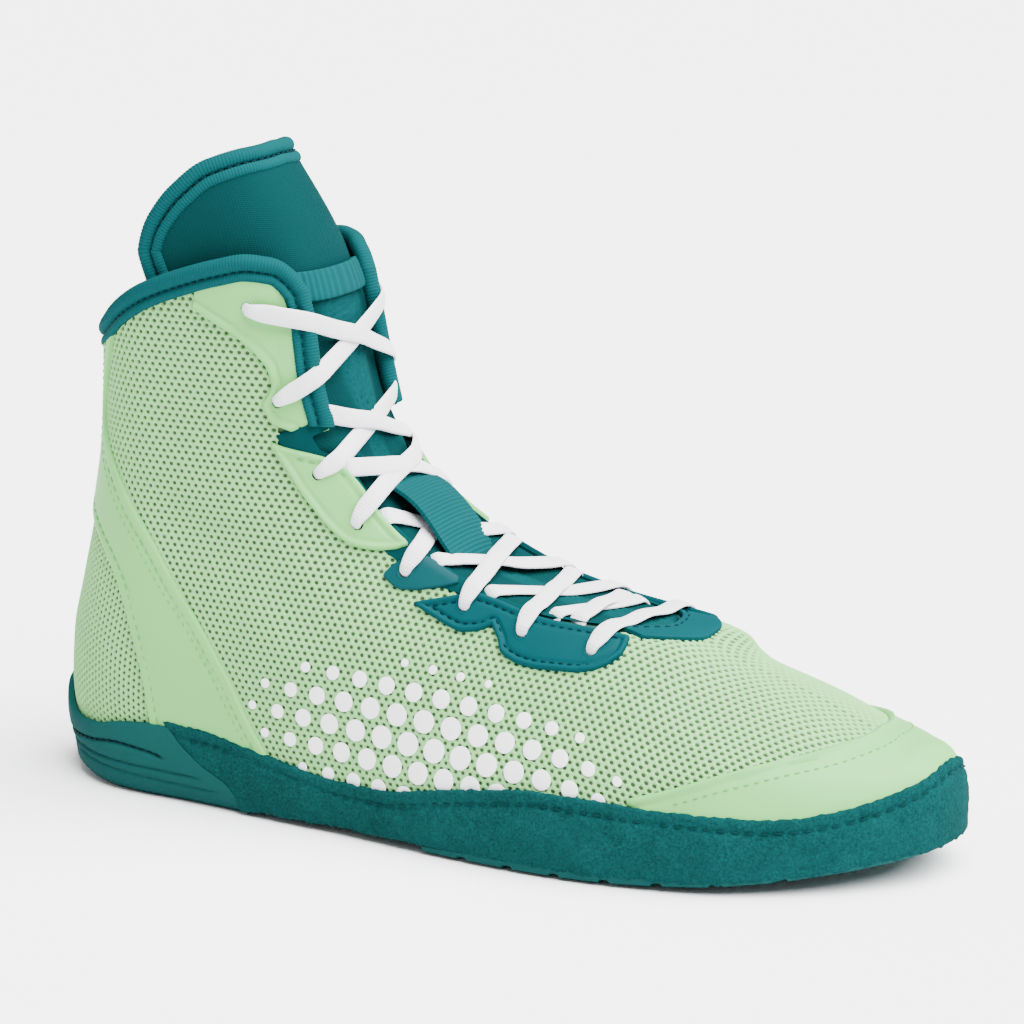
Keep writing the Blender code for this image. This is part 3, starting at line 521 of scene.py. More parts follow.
def placeGroup(tree, group, vector, **values):
    node = addNode(tree, "ShaderNodeGroup", node_tree=group)
    tree.links.new(vector, node.inputs[0])
    for key, value in values.items():
        node.inputs[key].default_value = value
    return node


def makeFinish(name, look):
    # one material: a drifting colour, painted shade that darkens the low parts of a relief from a shared
    # group, and the shader's own gloss and sheen
    look = {**plainLook, **look}
    material = bpy.data.materials.new(name)
    material.use_nodes = True
    tree = material.node_tree
    shader = tree.nodes["Principled BSDF"]
    place = addNode(tree, "ShaderNodeTexCoord").outputs["Object"]
    pattern = addNode(tree, "ShaderNodeAttribute", attribute_name="weave").outputs["Vector"]
    shader.inputs["Specular IOR Level"].default_value = look["specular"]
    shader.inputs["Sheen Weight"].default_value = look["sheen"]
    drift = placeGroup(tree, toneDrift, place, Scale=look["driftScale"], Drift=look["drift"])
    drift.inputs["Colour"].default_value = (*look["colour"], 1)
    colour = drift.outputs["Colour"]
    if look["relief"] == "ribs":
        relief = placeGroup(tree, threadRibs, pattern, Pitch=look["pitch"], Cross=look["cross"])
        relief.inputs["Cross pitch"].default_value = look["crossPitch"]
    else:
        group = suedeNap if look["relief"] == "nap" else fineGrain
        relief = placeGroup(tree, group, place, Scale=look["scale"])
    shade = relief.outputs["Mask" if look["relief"] == "grain" else "Shade"]
    # painted shade: the colour is multiplied towards the hollow shade tint where the relief is low
    dark = addNode(tree, "ShaderNodeMix", {"B": (*look["hollowShadeTint"], 1)}, data_type="RGBA",
                   blend_type="MULTIPLY")
    depth = mathNode(tree, "MULTIPLY", mathNode(tree, "SUBTRACT", 1.0, shade), look["hollowShade"])
    tree.links.new(depth, dark.inputs["Factor"])
    tree.links.new(colour, dark.inputs["A"])
    colour = dark.outputs["Result"]
    if "inside" in look:      # a point attribute blends to a second colour
        mark = addNode(tree, "ShaderNodeAttribute", attribute_name="inside").outputs["Fac"]
        both = addNode(tree, "ShaderNodeMix", data_type="RGBA")
        tree.links.new(mark, both.inputs["Factor"])
        tree.links.new(colour, both.inputs["A"])
        both.inputs["B"].default_value = (*look["inside"], 1)
        colour = both.outputs["Result"]
    tree.links.new(colour, shader.inputs["Base Color"])
    spread = mathNode(tree, "MULTIPLY", shade, look["roughSpread"])
    rough = mathNode(tree, "ADD", spread, look["rough"] - look["roughSpread"] / 2)
    tree.links.new(rough, shader.inputs["Roughness"])
    bump = addNode(tree, "ShaderNodeBump", {"Strength": look["bump"], "Distance": look["bumpDeep"]})
    tree.links.new(relief.outputs["Height"], bump.inputs["Height"])
    tree.links.new(bump.outputs["Normal"], shader.inputs["Normal"])
    return material


finishes = {
    "yarn": {"colour": (0.185, 0.43, 0.155), "rough": 0.75, "scale": 2600, "bump": 0.45, "hollowShade": 0.3,
             "hollowShadeTint": (0.5, 0.62, 0.45), "drift": 0.04, "specular": 0.15},
    # partly painted shade: the lining's grey-green is darker than its own colour so that the mesh's holes
    # look shaded; the teal inside colour is its own
    "lining": {"colour": (0.060, 0.105, 0.050), "rough": 0.9, "scale": 1800, "bump": 0.4, "specular": 0.1,
               "inside": (0.004, 0.045, 0.045)},
    "overlay": {"colour": (0.118, 0.375, 0.096), "rough": 0.55, "scale": 1500, "bump": 0.10,
                "hollowShade": 0.06, "drift": 0.03, "specular": 0.2},
    "eyestay": {"colour": (0.0002, 0.038, 0.044), "rough": 0.55, "scale": 1300, "bump": 0.14,
                "hollowShade": 0.12, "specular": 0.03},
    "film": {"colour": (0.0015, 0.038, 0.043), "rough": 0.45, "scale": 900, "bump": 0.05, "hollowShade": 0.05,
             "specular": 0.05},
    "suede": {"colour": (0.003, 0.050, 0.050), "rough": 0.95, "relief": "nap", "scale": 1400, "bump": 1.0,
              "bumpDeep": 0.0005, "hollowShade": 0.85, "hollowShadeTint": (0.10, 0.28, 0.28), "drift": 0.18,
              "specular": 0.03},
    "rubber": {"colour": (0.0045, 0.046, 0.045), "rough": 0.7, "scale": 2200, "bump": 0.12, "hollowShade": 0.1,
               "specular": 0.02},
    "tape": {"colour": (0.002, 0.052, 0.056), "rough": 0.8, "relief": "ribs", "pitch": 0.9,
             "crossPitch": 0.35, "cross": 0.3, "bump": 0.5, "bumpDeep": 0.00018, "hollowShade": 0.5,
             "hollowShadeTint": (0.2, 0.45, 0.45), "specular": 0.03},
    "knit": {"colour": (0.0005, 0.026, 0.027), "rough": 0.85, "relief": "ribs", "pitch": 0.62,
             "crossPitch": 0.55, "cross": 1.0, "bump": 0.25, "bumpDeep": 0.0002, "hollowShade": 0.3,
             "inside": (0.001, 0.036, 0.038), "specular": 0.03},
    "lace": {"colour": (0.62, 0.62, 0.65), "rough": 0.75, "sheen": 0.1, "relief": "ribs", "pitch": 0.9,
             "crossPitch": 0.75, "cross": 0.8, "bump": 0.4, "bumpDeep": 0.00015, "hollowShade": 0.22,
             "hollowShadeTint": (0.55, 0.55, 0.60), "drift": 0.02},
    "print": {"colour": (0.72, 0.72, 0.75), "rough": 0.55, "scale": 900, "bump": 0.08, "hollowShade": 0.05},
    "threadMint": {"colour": (0.09, 0.29, 0.075), "rough": 0.6, "scale": 3000, "specular": 0.1},
    "threadTeal": {"colour": (0.0003, 0.014, 0.018), "rough": 0.6, "scale": 3000, "specular": 0.05},
    "threadSuede": {"colour": (0.001, 0.024, 0.025), "rough": 0.6, "scale": 3000, "specular": 0.03},
    # partly painted shade: the facing is darker than the eyestays, partly as the gusset's own teal and
    # partly to stand for the shade along the throat's edge
    "facing": {"colour": (0.0004, 0.030, 0.032), "rough": 0.8, "scale": 1500, "bump": 0.15,
               "specular": 0.02},
    # painted shade: a near-black colour for the wells of the eyelets, standing for the shade inside the
    # holes
    "hole": {"colour": (0.002, 0.008, 0.008), "rough": 0.9, "scale": 900, "specular": 0.02},
    "insole": {"colour": (0.004, 0.035, 0.035), "rough": 0.95, "scale": 2200, "bump": 0.5, "specular": 0.03},
}
made = {name: makeFinish(name, look) for name, look in finishes.items()}
print("finishes made:", len(made))


# wall of the upper: lining sheet from level rings, open at the throat and the collar, thickened inwards
wall = {"lowRows": 54, "midRows": 30, "topRows": 28, "frontColumns": 26, "backColumns": 74, "corner": 0.20,
        "outer": -0.6, "thick": 1.2, "closedTo": 64.0, "openFrom": 70.0, "flapFrom": 112, "flapHigh": 42,
        "frontEdge": [(0, 66.8), (0.06, 66.9), (0.155, 67.5), (0.20, 68.4)], "borderFrom": 63,
        "border": 0.075}


def makeWall():
    # columns spread in q from the throat's edge to the back, rows in height up to the collar
    frontEdge = smoothCurve(wall["frontEdge"])
    lead, r = np.linspace(0, 1, wall["frontColumns"] + 1)[:-1], np.linspace(0, 1, wall["backColumns"] + 1)
    fullQ = np.concatenate([wall["corner"] * lead, wall["corner"] + (1 - wall["corner"]) * r])
    lowZ = np.linspace(last["feather"], wall["closedTo"], wall["lowRows"])
    q, z = np.tile(fullQ, (len(lowZ) + 1, 1)), np.repeat(lowZ[:, None], len(fullQ), 1)
    z = np.concatenate([z, frontEdge(np.minimum(fullQ, wall["corner"]))[None]])
    flapZ = wall["flapFrom"]
    midZ = np.linspace(wall["openFrom"], flapZ, wall["midRows"])
    topStep = np.linspace(0, 1, wall["topRows"] + 1)[1:]
    edge = np.concatenate([throatQ(midZ), throatQ(flapZ + wall["flapHigh"] * topStep)])[:, None]
    openQ = np.concatenate([np.repeat(edge, wall["frontColumns"], 1), edge + (1 - edge) * r], 1)
    topQ = openQ[len(midZ):]
    topZ = flapZ + (collarZ(topQ) - flapZ) * topStep[:, None]
    openZ = np.concatenate([np.repeat(midZ[:, None], openQ.shape[1], 1), topZ])
    q, z = np.concatenate([q, openQ]), np.concatenate([z, openZ])
    q, z = np.concatenate([-q, q[:, -2::-1]], 1), np.concatenate([z, z[:, -2::-1]], 1)
    n, m = q.shape
    p = skin.at(q, z, wall["outer"])
    faces = facing(p, gridFaces(n, m), skin.normal(q, z))
    row, column = np.divmod(np.arange((n - 1) * (m - 1)), m - 1)
    front = (column < wall["frontColumns"]) | (column >= m - 1 - wall["frontColumns"])
    faces = faces[~(front & (row >= len(lowZ)))]
    inside = (z > wall["borderFrom"]) & (np.abs(q) < throatEdge(z) + wall["border"])
    piece = addPiece("upper_wall", p, faces, made["lining"], "mesh", ["upper"],
                     {"inside": inside.astype(float).ravel()}, merge=1e-5)
    thick = piece.modifiers.new("wall", "SOLIDIFY")
    thick.thickness, thick.offset = wall["thick"] * origin["scale"], -1.0
    return piece


makeWall()
print("upper's wall made")


# open mesh: hexagons round a hole on a map of the skin that keeps lengths
net = {"pitch": 2.45, "row": 1.85, "hole": 0.56, "crest": 0.10, "rim": -0.12, "floor": -0.56,
       "turnFrom": 165.0, "turnTo": 208.0, "foldLead": 4, "xFrom": 12, "xTo": 276, "topMost": 172,
       "girthMost": 250, "heelBack": 16, "heelHalf": 31, "middleX": 100}
heelNet = {"pitch": 2.2, "row": 1.75, "turn": 32.0, "width": 64.0, "low": 12.0, "high": 96.0, "span": 0.32,
           "middle": 50, "shownHigh": 90, "shownWide": 60}
# heel band: rear q, rear height, front q, front height
bandRows = [(0.742, 19.5, 0.622, 15.0), (0.746, 33.5, 0.643, 31.5), (0.750, 42.9, 0.650, 40),
            (0.757, 53, 0.660, 51.7), (0.769, 63, 0.677, 65), (0.795, 70.5, 0.694, 77),
            (0.832, 76, 0.713, 84.2), (0.880, 80.5, 0.738, 91.2), (0.935, 84.5, 0.764, 96.8),
            (0.994, 88, 0.792, 101.5), (0.994, 97, 0.826, 108), (0.994, 107, 0.838, 114),
            (0.994, 116, 0.815, 122), (0.994, 125, 0.765, 132.5), (0.994, 129.8, 0.735, 138.4)]
# eyestays: binding side x and height, mesh side x and height; or x, lower and upper height
collarStay = [(62.5, 154.5, 61.5, 148.5), (70, 157.5, 68.5, 144.5), (78.2, 158.9, 75.9, 140),
              (84.0, 157.0, 80.5, 135.8), (87.4, 152.0, 83.6, 131.4), (89.6, 144.5, 84.6, 128),
              (91.2, 136.5, 83.7, 124.2), (92.8, 128, 82.3, 121), (94.4, 121, 84.2, 116.4),
              (95.0, 116.0, 90.4, 113.6)]
midStay = [(84.9, 109.3, 110.1), (88, 104.8, 109.2), (92, 99, 108.3), (97, 92.6, 107.2), (102, 87.2, 105.4),
           (106, 84, 102.8), (110, 82, 98.8), (114, 81.2, 94.2), (118, 81, 89.6), (122, 81.4, 86),
           (125.5, 82.6, 83.6)]
filmStay = [(120.6, 74.2, 75.0), (123, 72.4, 77.6), (126.5, 71, 79.8), (130, 71, 80.6), (134.5, 71.6, 79.3),
            (139, 72.4, 76.8), (142.5, 73.4, 75.2)]
lowerStay = [(131.2, 67.4, 67.9), (134, 66.1, 68.6), (138, 64.4, 69.4), (143, 62.4, 70.5), (147, 61.4, 71.6),
             (151, 61.8, 71.0), (155.5, 63.6, 70.0), (158.5, 60.4, 69.2), (161, 57, 68.5), (166, 55.1, 67.2),
             (173, 54.3, 66.1), (182, 54.3, 65.2), (188, 55, 64.5), (192, 56.6, 63.9), (195, 59, 63.2)]
bandFrontQ = smoothCurve([(row[3], row[2]) for row in bandRows])
bandRearQ = smoothCurve([(row[1], row[0]) for row in bandRows[:10]])


class NetMap:
    # unrolls one side: u runs along the sole, w is the girth from the sole less a shift that meets the ridge

    def __init__(self):
        # girth is the running length up the side, u the running length of a level line
        self.x = np.linspace(net["xFrom"], net["xTo"], 400)
        top = np.minimum(skin.crest(self.x) - 1e-3, net["topMost"])
        s = np.linspace(0, 1, 500)
        z = last["feather"] + (top[:, None] - last["feather"]) * (1 - (1 - s) ** 2.2)
        half = skin.halfWidth(np.repeat(self.x[:, None], len(s), 1), z)
        girth = np.cumsum(np.hypot(np.diff(half, axis=1), np.diff(z, axis=1)), 1)
        girth = np.concatenate([np.zeros((len(self.x), 1)), girth], 1)
        self.end = girth[:, -1]
        self.v = np.linspace(0, net["girthMost"], 1000)
        self.half = np.stack([np.interp(self.v, g, h) for g, h in zip(girth, half)])
        self.z = np.stack([np.interp(self.v, g, h) for g, h in zip(girth, z)])
        turn = ease((self.x - net["turnFrom"]) / (net["turnTo"] - net["turnFrom"]))
        shift = np.concatenate([[0], np.cumsum(np.diff(self.end) * (turn[1:] + turn[:-1]) / 2)])
        self.shift = shift + np.interp(net["turnTo"], self.x, self.end - shift)
        closing = np.clip((last["heelRound"] - self.x) / (last["heelRound"] - net["heelBack"]), 0, 0.97)
        side = net["heelHalf"] * (1 - closing ** last["heelPower"]) ** (1 / last["heelPower"])
        along = np.concatenate([[0], np.cumsum(np.hypot(np.diff(self.x), np.diff(side)))])
        self.u = along - np.interp(net["middleX"], self.x, along)

    def place(self, u, w):
        # x, height, half width and the side's sign where the ridge folds w over to the other side
        x = np.interp(u, self.u, self.x)
        shift = np.interp(x, self.x, self.shift)
        fold = (w > 0) & (x > net["turnTo"] - net["foldLead"])
        v = shift + np.where(fold, -w, w)
        i = np.interp(x, self.x, np.arange(len(self.x)))
        j = np.clip(v / self.v[1], 0, len(self.v) - 1.001)
        over = v - np.interp(x, self.x, self.end)
        return x, readTable(self.z, i, j), readTable(self.half, i, j), np.where(fold, -1, 1), over

    def point(self, u, w, side):
        x, z, half, turn, over = self.place(u, w)
        return shapeThroat(x, skin.centre(x, z) + side * turn * half, z)

    def at(self, u, w, side, out):
        # the point moved out along the cross product of two small steps
        e = 0.4
        across = self.point(u, w + e, side) - self.point(u, w - e, side)
        n = unit(np.cross(self.point(u + e, w, side) - self.point(u - e, w, side), across) * side * -1)
        p = self.point(u, w, side)
        return p + n * (out + creaseOut(p[..., 0], self.place(u, w)[1]))[..., None], n


def underStay(x, z, rows, margin, above=8.0):
    # true between a stay's two edges, less the margin
    low, high = smoothCurve([(r[0], r[1]) for r in rows])(x), smoothCurve([(r[0], r[2]) for r in rows])(x)
    return (x > rows[0][0] + margin) & (x < rows[-1][0] - margin) & (z > low + margin) & (z < high + above)


def quarterShows(x, z, over):
    # true where the mesh of quarter and vamp is in sight, with a margin under each neighbour
    q = skin.ringQ(x, z)
    keep = (over < 0.5) & (z > randTop(q) - 3) & (z < collarZ(np.clip(q, 0.2, 1)) - 1.5)
    keep &= q < bandFrontQ(z) + 0.012
    keep &= (q > 0.345) | (z > capTop(np.clip(q, 0, 0.345)) - 2.5)
    keep &= (z < 66.9) | (q > throatEdge(z) + 0.004)
    keep &= ~((q < 0.165) & (z > 64.2)) & ~underStay(x, z, lowerStay, 2.5, np.where(x < 146, -1.5, 8.0))
    keep &= ~underStay(x, z, midStay, 2.5) & ~underStay(x, z, filmStay, 2.5)
    front = smoothCurve([(r[3], r[2]) for r in collarStay[::-1]])(z)
    keep &= ~((z > 117) & (z < 149) & (x > front + 3))
    return keep & ~((z > 150.5) & (x > collarStay[0][2] + 3)) & ~((z > 109) & (z < 114.8) & (q < 0.36))


def hexNet(cells, pitch, row, place):
    # cells are integer columns and rows; corners are shared, each hole has a rim and a foot of six points
    centre = np.stack(cellCentre(cells, pitch, row), -1)
    corner = np.array([(0, 2), (3, 1), (3, -1), (0, -2), (-3, -1), (-3, 1)]) * [pitch / 6, row / 3]
    outer = centre[:, None] + corner
    key = np.round(outer / [pitch / 2, row / 3]).astype(int).reshape(-1, 2)
    unique, index = np.unique(key, axis=0, return_inverse=True)
    index = index.reshape(-1, 6)
    rim, foot = centre[:, None] + corner * net["hole"], centre[:, None] + corner * net["hole"] * 0.86
    flat = np.concatenate([unique * [pitch / 2, row / 3], rim.reshape(-1, 2), foot.reshape(-1, 2)])
    count = len(cells) * 6
    out = np.repeat([net["crest"], net["rim"], net["floor"]], [len(unique), count, count])
    p, n = place(flat[:, 0], flat[:, 1], out)
    top = len(unique) + np.arange(count).reshape(-1, 6)
    quads = [np.stack([index, np.roll(index, -1, 1), np.roll(top, -1, 1), top], -1),
             np.stack([top, np.roll(top, -1, 1), np.roll(top, -1, 1) + count, top + count], -1)]
    return p, facing(p, np.concatenate([f.reshape(-1, 4) for f in quads]), n)


netMap = NetMap()


def makeQuarterMesh(label, side):
    # hexagons over one unrolled side, kept where they show
    cells, u, w = cellGrid(np.arange(-50, 80), np.arange(-74, 56), net["pitch"], net["row"])
    x, z, half, turn, over = netMap.place(u, w)
    ridge = (turn < 0) | ((side > 0) & (cells[:, 1] == 0) & (x > net["turnTo"] - net["foldLead"]))
    keep = quarterShows(x, z, over) & ~ridge & (u > netMap.u[0] + 4) & (x < 272)
    p, faces = hexNet(cells[keep], net["pitch"], net["row"], lambda a, b, out: netMap.at(a, b, side, out))
    print("mesh cells on one side:", int(keep.sum()))
    return addPiece("upper_mesh_" + label, p, faces, made["yarn"], "mesh", sharp=0)


def makeHeelMesh():
    # level rings round the heel: u is the length from the back, w the height
    heights = np.linspace(heelNet["low"], heelNet["high"], 90)
    q = 1 + np.linspace(-heelNet["span"], heelNet["span"], 161)
    ring = skin.base(np.repeat(q[None], len(heights), 0), np.repeat(heights[:, None], len(q), 1))
    along = np.cumsum(np.linalg.norm(np.diff(ring, axis=1), axis=2), 1)
    along = np.concatenate([np.zeros((len(heights), 1)), along], 1)
    along -= along[:, len(q) // 2, None]
    reach = np.linspace(-heelNet["width"], heelNet["width"], 321)
    table = np.stack([np.interp(reach, row, q) for row in along])

    def ringAt(u, z):
        i = np.clip((z - heights[0]) / (heights[1] - heights[0]), 0, len(heights) - 1.001)
        j = np.clip((u - reach[0]) / (reach[1] - reach[0]), 0, len(reach) - 1.001)
        return readTable(table, i, j)
    c, s = math.cos(math.radians(heelNet["turn"])), math.sin(math.radians(heelNet["turn"]))

    def turned(a, b):
        return a * c - b * s, a * s + b * c + heelNet["middle"]

    def place(a, b, out):
        u, z = turned(a, b)
        around = ringAt(u, z)
        return skin.at(around, z, out), skin.normal(around, z)
    cells, u, w = cellGrid(np.arange(-53, 54), np.arange(-53, 54), heelNet["pitch"], heelNet["row"])
    u, z = turned(u, w)
    around = np.abs((ringAt(u, z) + 1) % 2 - 1)
    keep = (z > cupTop(around) - 2.5) & (z < heelNet["shownHigh"]) & (np.abs(u) < heelNet["shownWide"])
    keep &= around > bandRearQ(np.minimum(z, 88)) - 0.012
    keep &= (z > heelNet["low"] + 2) & (z < heelNet["high"] - 2)
    p, faces = hexNet(cells[keep], heelNet["pitch"], heelNet["row"], place)
    print("mesh cells on the heel:", int(keep.sum()))
    return addPiece("heel_mesh", p, faces, made["yarn"], "mesh", sharp=0)


for label, side in sides.items():
    makeQuarterMesh(label, side)
makeHeelMesh()
print("mesh made")


# overlays: sheets ruled between two edges whose height follows the distance to the edge
overlayLook = {"base": 0.30, "thick": 0.85, "round": 0.55}
eyeletHole = {"cut": 1.75, "rim": [(2.7, -0.10), (2.35, 0.05), (1.9, 0.06), (1.62, -0.08), (1.52, -0.5)],
              "well": [(1.54, -0.4), (1.45, -1.5), (0.02, -1.55)], "around": 22}


def denseEdges(first, second, count):
    # both edges at the same share of their mean length
    first, second = np.array(first, float), np.array(second, float)
    step = (first + second)[1:] - (first + second)[:-1]
    t = np.concatenate([[0], np.cumsum(np.hypot(step[:, 0] * 130, step[:, 1]))])
    t /= t[-1]
    s = np.linspace(0, 1, count)
    return [np.stack([smoothCurve(list(zip(t, e[:, k])))(s) for k in (0, 1)], -1) for e in (first, second)]


def alongXz(rows, x, z):
    # q and height of two columns that hold x and height
    p = np.array(rows, float)
    return np.stack([skin.ringQ(p[:, x], p[:, z]), p[:, z]], -1)


def roundEdge(t):
    # quarter circle from 0 at the edge to 1 at one radius
    return np.sqrt(1 - (1 - np.clip(t, 0, 1)) ** 2)


def nearest(points, line):
    # distance of each point from the closest point of a line
    flat = points.reshape(-1, 3)
    return np.sqrt(((flat[:, None] - line[None]) ** 2).sum(-1).min(1)).reshape(points.shape[:-1])


def makeOverlay(name, first, second, side, finish, slot, node, long, across, welt=None, holes=(),
                foot=-0.55):
    # a ruled sheet with a round edge; welt adds a border and a groove along the edges that it names
    a, b = denseEdges(first, second, long)
    a, b = np.concatenate([a[:1], a, a[-1:]]), np.concatenate([b[:1], b, b[-1:]])
    fine = np.array([0.0, 0.012, 0.03, 0.055, 0.09, 0.13])
    v = np.concatenate([[0], fine, np.linspace(0.18, 0.82, across), 1 - fine[::-1], [1]])
    q = side * (a[:, :1] * (1 - v) + b[:, :1] * v)
    z = a[:, 1:] * (1 - v) + b[:, 1:] * v
    p = skin.base(q, z)
    border = np.concatenate([p[:, 0], p[:, -1], p[0], p[-1]])
    d = nearest(p, border)
    high = overlayLook["base"] + overlayLook["thick"] * roundEdge(d / overlayLook["round"])
    if welt:
        edges = {"all": border, "second": p[:, -1], "long": np.concatenate([p[:, 0], p[:, -1]])}
        far = nearest(p, edges[welt["edges"]])
        high = high + welt["high"] * np.exp(-((far - welt["at"]) / welt["wide"]) ** 2)
        high = high - welt["groove"] * np.exp(-((far - welt["grooveAt"]) / welt["grooveWide"]) ** 2)
    high[[0, -1]] = foot
    high[:, [0, -1]] = foot
    points = skin.at(q, z, high)
    faces = facing(points, gridFaces(*q.shape), skin.normal(q, z))
    for eye in holes:
        centre = skin.base(np.array(side * eye[0]), np.array(eye[1]))
        reach = np.linalg.norm(p.reshape(-1, 3)[faces].mean(1) - centre, axis=1)
        faces = faces[reach > eyeletHole["cut"]]
    return addPiece(name, points, faces, made[finish], slot, [node], sharp=50)


softWelt = {"edges": "second", "high": 0.60, "at": 1.1, "wide": 0.75, "groove": 0.40, "grooveAt": 2.7,
            "grooveWide": 0.6}
bandWelt = {"edges": "long", "high": 0.12, "at": 1.8, "wide": 1.2, "groove": 0.42, "grooveAt": 3.4,
            "grooveWide": 0.55}
stayWelt = {"edges": "all", "high": 0.35, "at": 0.9, "wide": 0.7, "groove": 0.38, "grooveAt": 2.2,
            "grooveWide": 0.55}
midWelt = {"edges": "all", "high": 0.40, "at": 0.9, "wide": 0.7, "groove": 0.30, "grooveAt": 2.3,
           "grooveWide": 0.6}
eyes = lines["eyelets"]
cap = {"half": 0.342, "underRand": 2.0, "least": 1.2, "sewnTo": 0.31, "stitchIn": 4.2}
capQ = np.linspace(-cap["half"], cap["half"], 61)
capFirst = np.stack([capQ, randTop(np.abs(capQ)) - cap["underRand"]], -1)
capSecond = np.stack([capQ, np.maximum(capTop(np.abs(capQ)), capFirst[:, 1] + cap["least"])], -1)
makeOverlay("toe_overlay", capFirst, capSecond, 1, "overlay", "overlay", "toe_cap", 150, 18, softWelt)
throatStay = {"half": 0.158, "top": 66.5, "rise": 0.5, "riseAt": 0.15, "high": 3.9, "foot": -2.2,
              "stitchIn": 2.0}
stayQ = np.linspace(-throatStay["half"], throatStay["half"], 25)
stayTop = throatStay["top"] + throatStay["rise"] * np.abs(stayQ) / throatStay["riseAt"]
stayFirst, staySecond = np.stack([stayQ, stayTop - throatStay["high"]], -1), np.stack([stayQ, stayTop], -1)
makeOverlay("throat_overlay", stayFirst, staySecond, 1, "eyestay", "eyestay", "throat_stay", 70, 10,
            foot=throatStay["foot"])
band = np.array(bandRows)
midEdges = alongXz(midStay, 0, 1), alongXz(midStay, 0, 2)
lowerEdges = alongXz(lowerStay, 0, 1), alongXz(lowerStay, 0, 2)
# name, both edges, finish, slot, solid, steps along and across, welt, holes
sideOverlays = [
    ("heel_overlay_", band[:, :2], band[:, 2:], "overlay", "overlay", "heel_band_", 130, 20, bandWelt, ()),
    ("collar_overlay_", alongXz(collarStay, 0, 1), alongXz(collarStay, 2, 3), "overlay", "overlay",
     "eyestay_collar_", 76, 26, softWelt, eyes[:2]),
    ("middle_overlay_", *midEdges, "overlay", "overlay", "eyestay_mid_", 76, 22, midWelt, eyes[2:4]),
    ("film_overlay_", alongXz(filmStay, 0, 1), alongXz(filmStay, 0, 2), "film", "eyestay", "eyestay_film_",
     44, 14, None, eyes[4:5]),
    ("lower_overlay_", *lowerEdges, "eyestay", "eyestay", "eyestay_lower_", 110, 20, stayWelt, eyes[5:])]
for label, side in sides.items():
    for name, first, second, finish, slot, node, *rest in sideOverlays:
        makeOverlay(name + label, first, second, side, finish, slot, node + label, *rest)
print("overlays made")

# facing: a thin strip folded round both edges of the throat
facingLook = {"from": 67.6, "to": 118.5, "reach": 0.066, "over": 0.22, "under": -2.05, "lip": 0.005}


def makeFacing(label, side):
    # a profile folded round the throat's edge, the same at every height
    z = np.linspace(facingLook["from"], facingLook["to"], 150)[:, None]
    edge = throatQ(z)
    v = np.array([1, 0.75, 0.5, 0.25, 0.08, 0, -1, -1, 0, 0.04, 0.12, 0.3, 0.55, 0.8, 1.0, 1.0])
    out = np.where(np.arange(len(v)) < 7, facingLook["under"], facingLook["over"])
    out[-1] = -0.5
    q = edge + np.where(v < 0, -facingLook["lip"], facingLook["reach"] * v)
    level = np.broadcast_to(z, q.shape)
    points = skin.at(side * q, level, out)
    faces = facing(points, gridFaces(*q.shape), skin.normal(side * q, level) * np.sign(out + 0.6)[:, None])
    return addPiece("throat_facing_" + label, points, faces, made["facing"], "eyestay", sharp=50)


for label, side in sides.items():
    makeFacing(label, side)


def makeEyelets(name, chosen, profile, finish, slot):
    # a profile of radius and height turned round each hole's normal
    r, h = np.array(profile).T
    angle = np.linspace(0, 2 * np.pi, eyeletHole["around"], endpoint=False)
    parts = []
    for side in sides.values():
        q, z = np.array(chosen).T
        q = q * side
        c, n = skin.at(q, z, overlayLook["base"] + overlayLook["thick"]), skin.normal(q, z)
        t = unit(np.cross(n, [0, 0, 1.0]))
        b = np.cross(n, t)
        ring = t[:, None] * np.cos(angle)[:, None] + b[:, None] * np.sin(angle)[:, None]
        p = c[:, None, None] + ring[:, None] * r[:, None, None] + n[:, None, None] * h[:, None, None]
        for k in range(len(q)):
            faces = facing(p[k], gridFaces(len(r), len(angle), True), np.broadcast_to(n[k], p[k].shape))
            parts.append((p[k].reshape(-1, 3), faces))
    return addPiece(name, *joinParts(parts), made[finish], slot, sharp=60)


# the near-black wells are painted shade: a dark cup under each eyelet's hole
for name, chosen, part, finish, slot in (("holes_collar", eyes[:4], "rim", "overlay", "overlay"),
                                         ("holes_film", eyes[4:5], "rim", "film", "eyestay"),
                                         ("holes_lower", eyes[5:], "rim", "eyestay", "eyestay"),
                                         ("holes_painted_shade", eyes, "well", "hole", "eyestay")):
    makeEyelets(name, chosen, eyeletHole[part], finish, slot)
print("eyelets made")


# stitches: short bars along lines on the skin
stitch = {"long": 2.2, "gap": 0.9, "wide": 0.55, "high": 0.34, "sections": 5, "round": 6}
threads = {"threadMint": [], "threadTeal": [], "threadSuede": []}


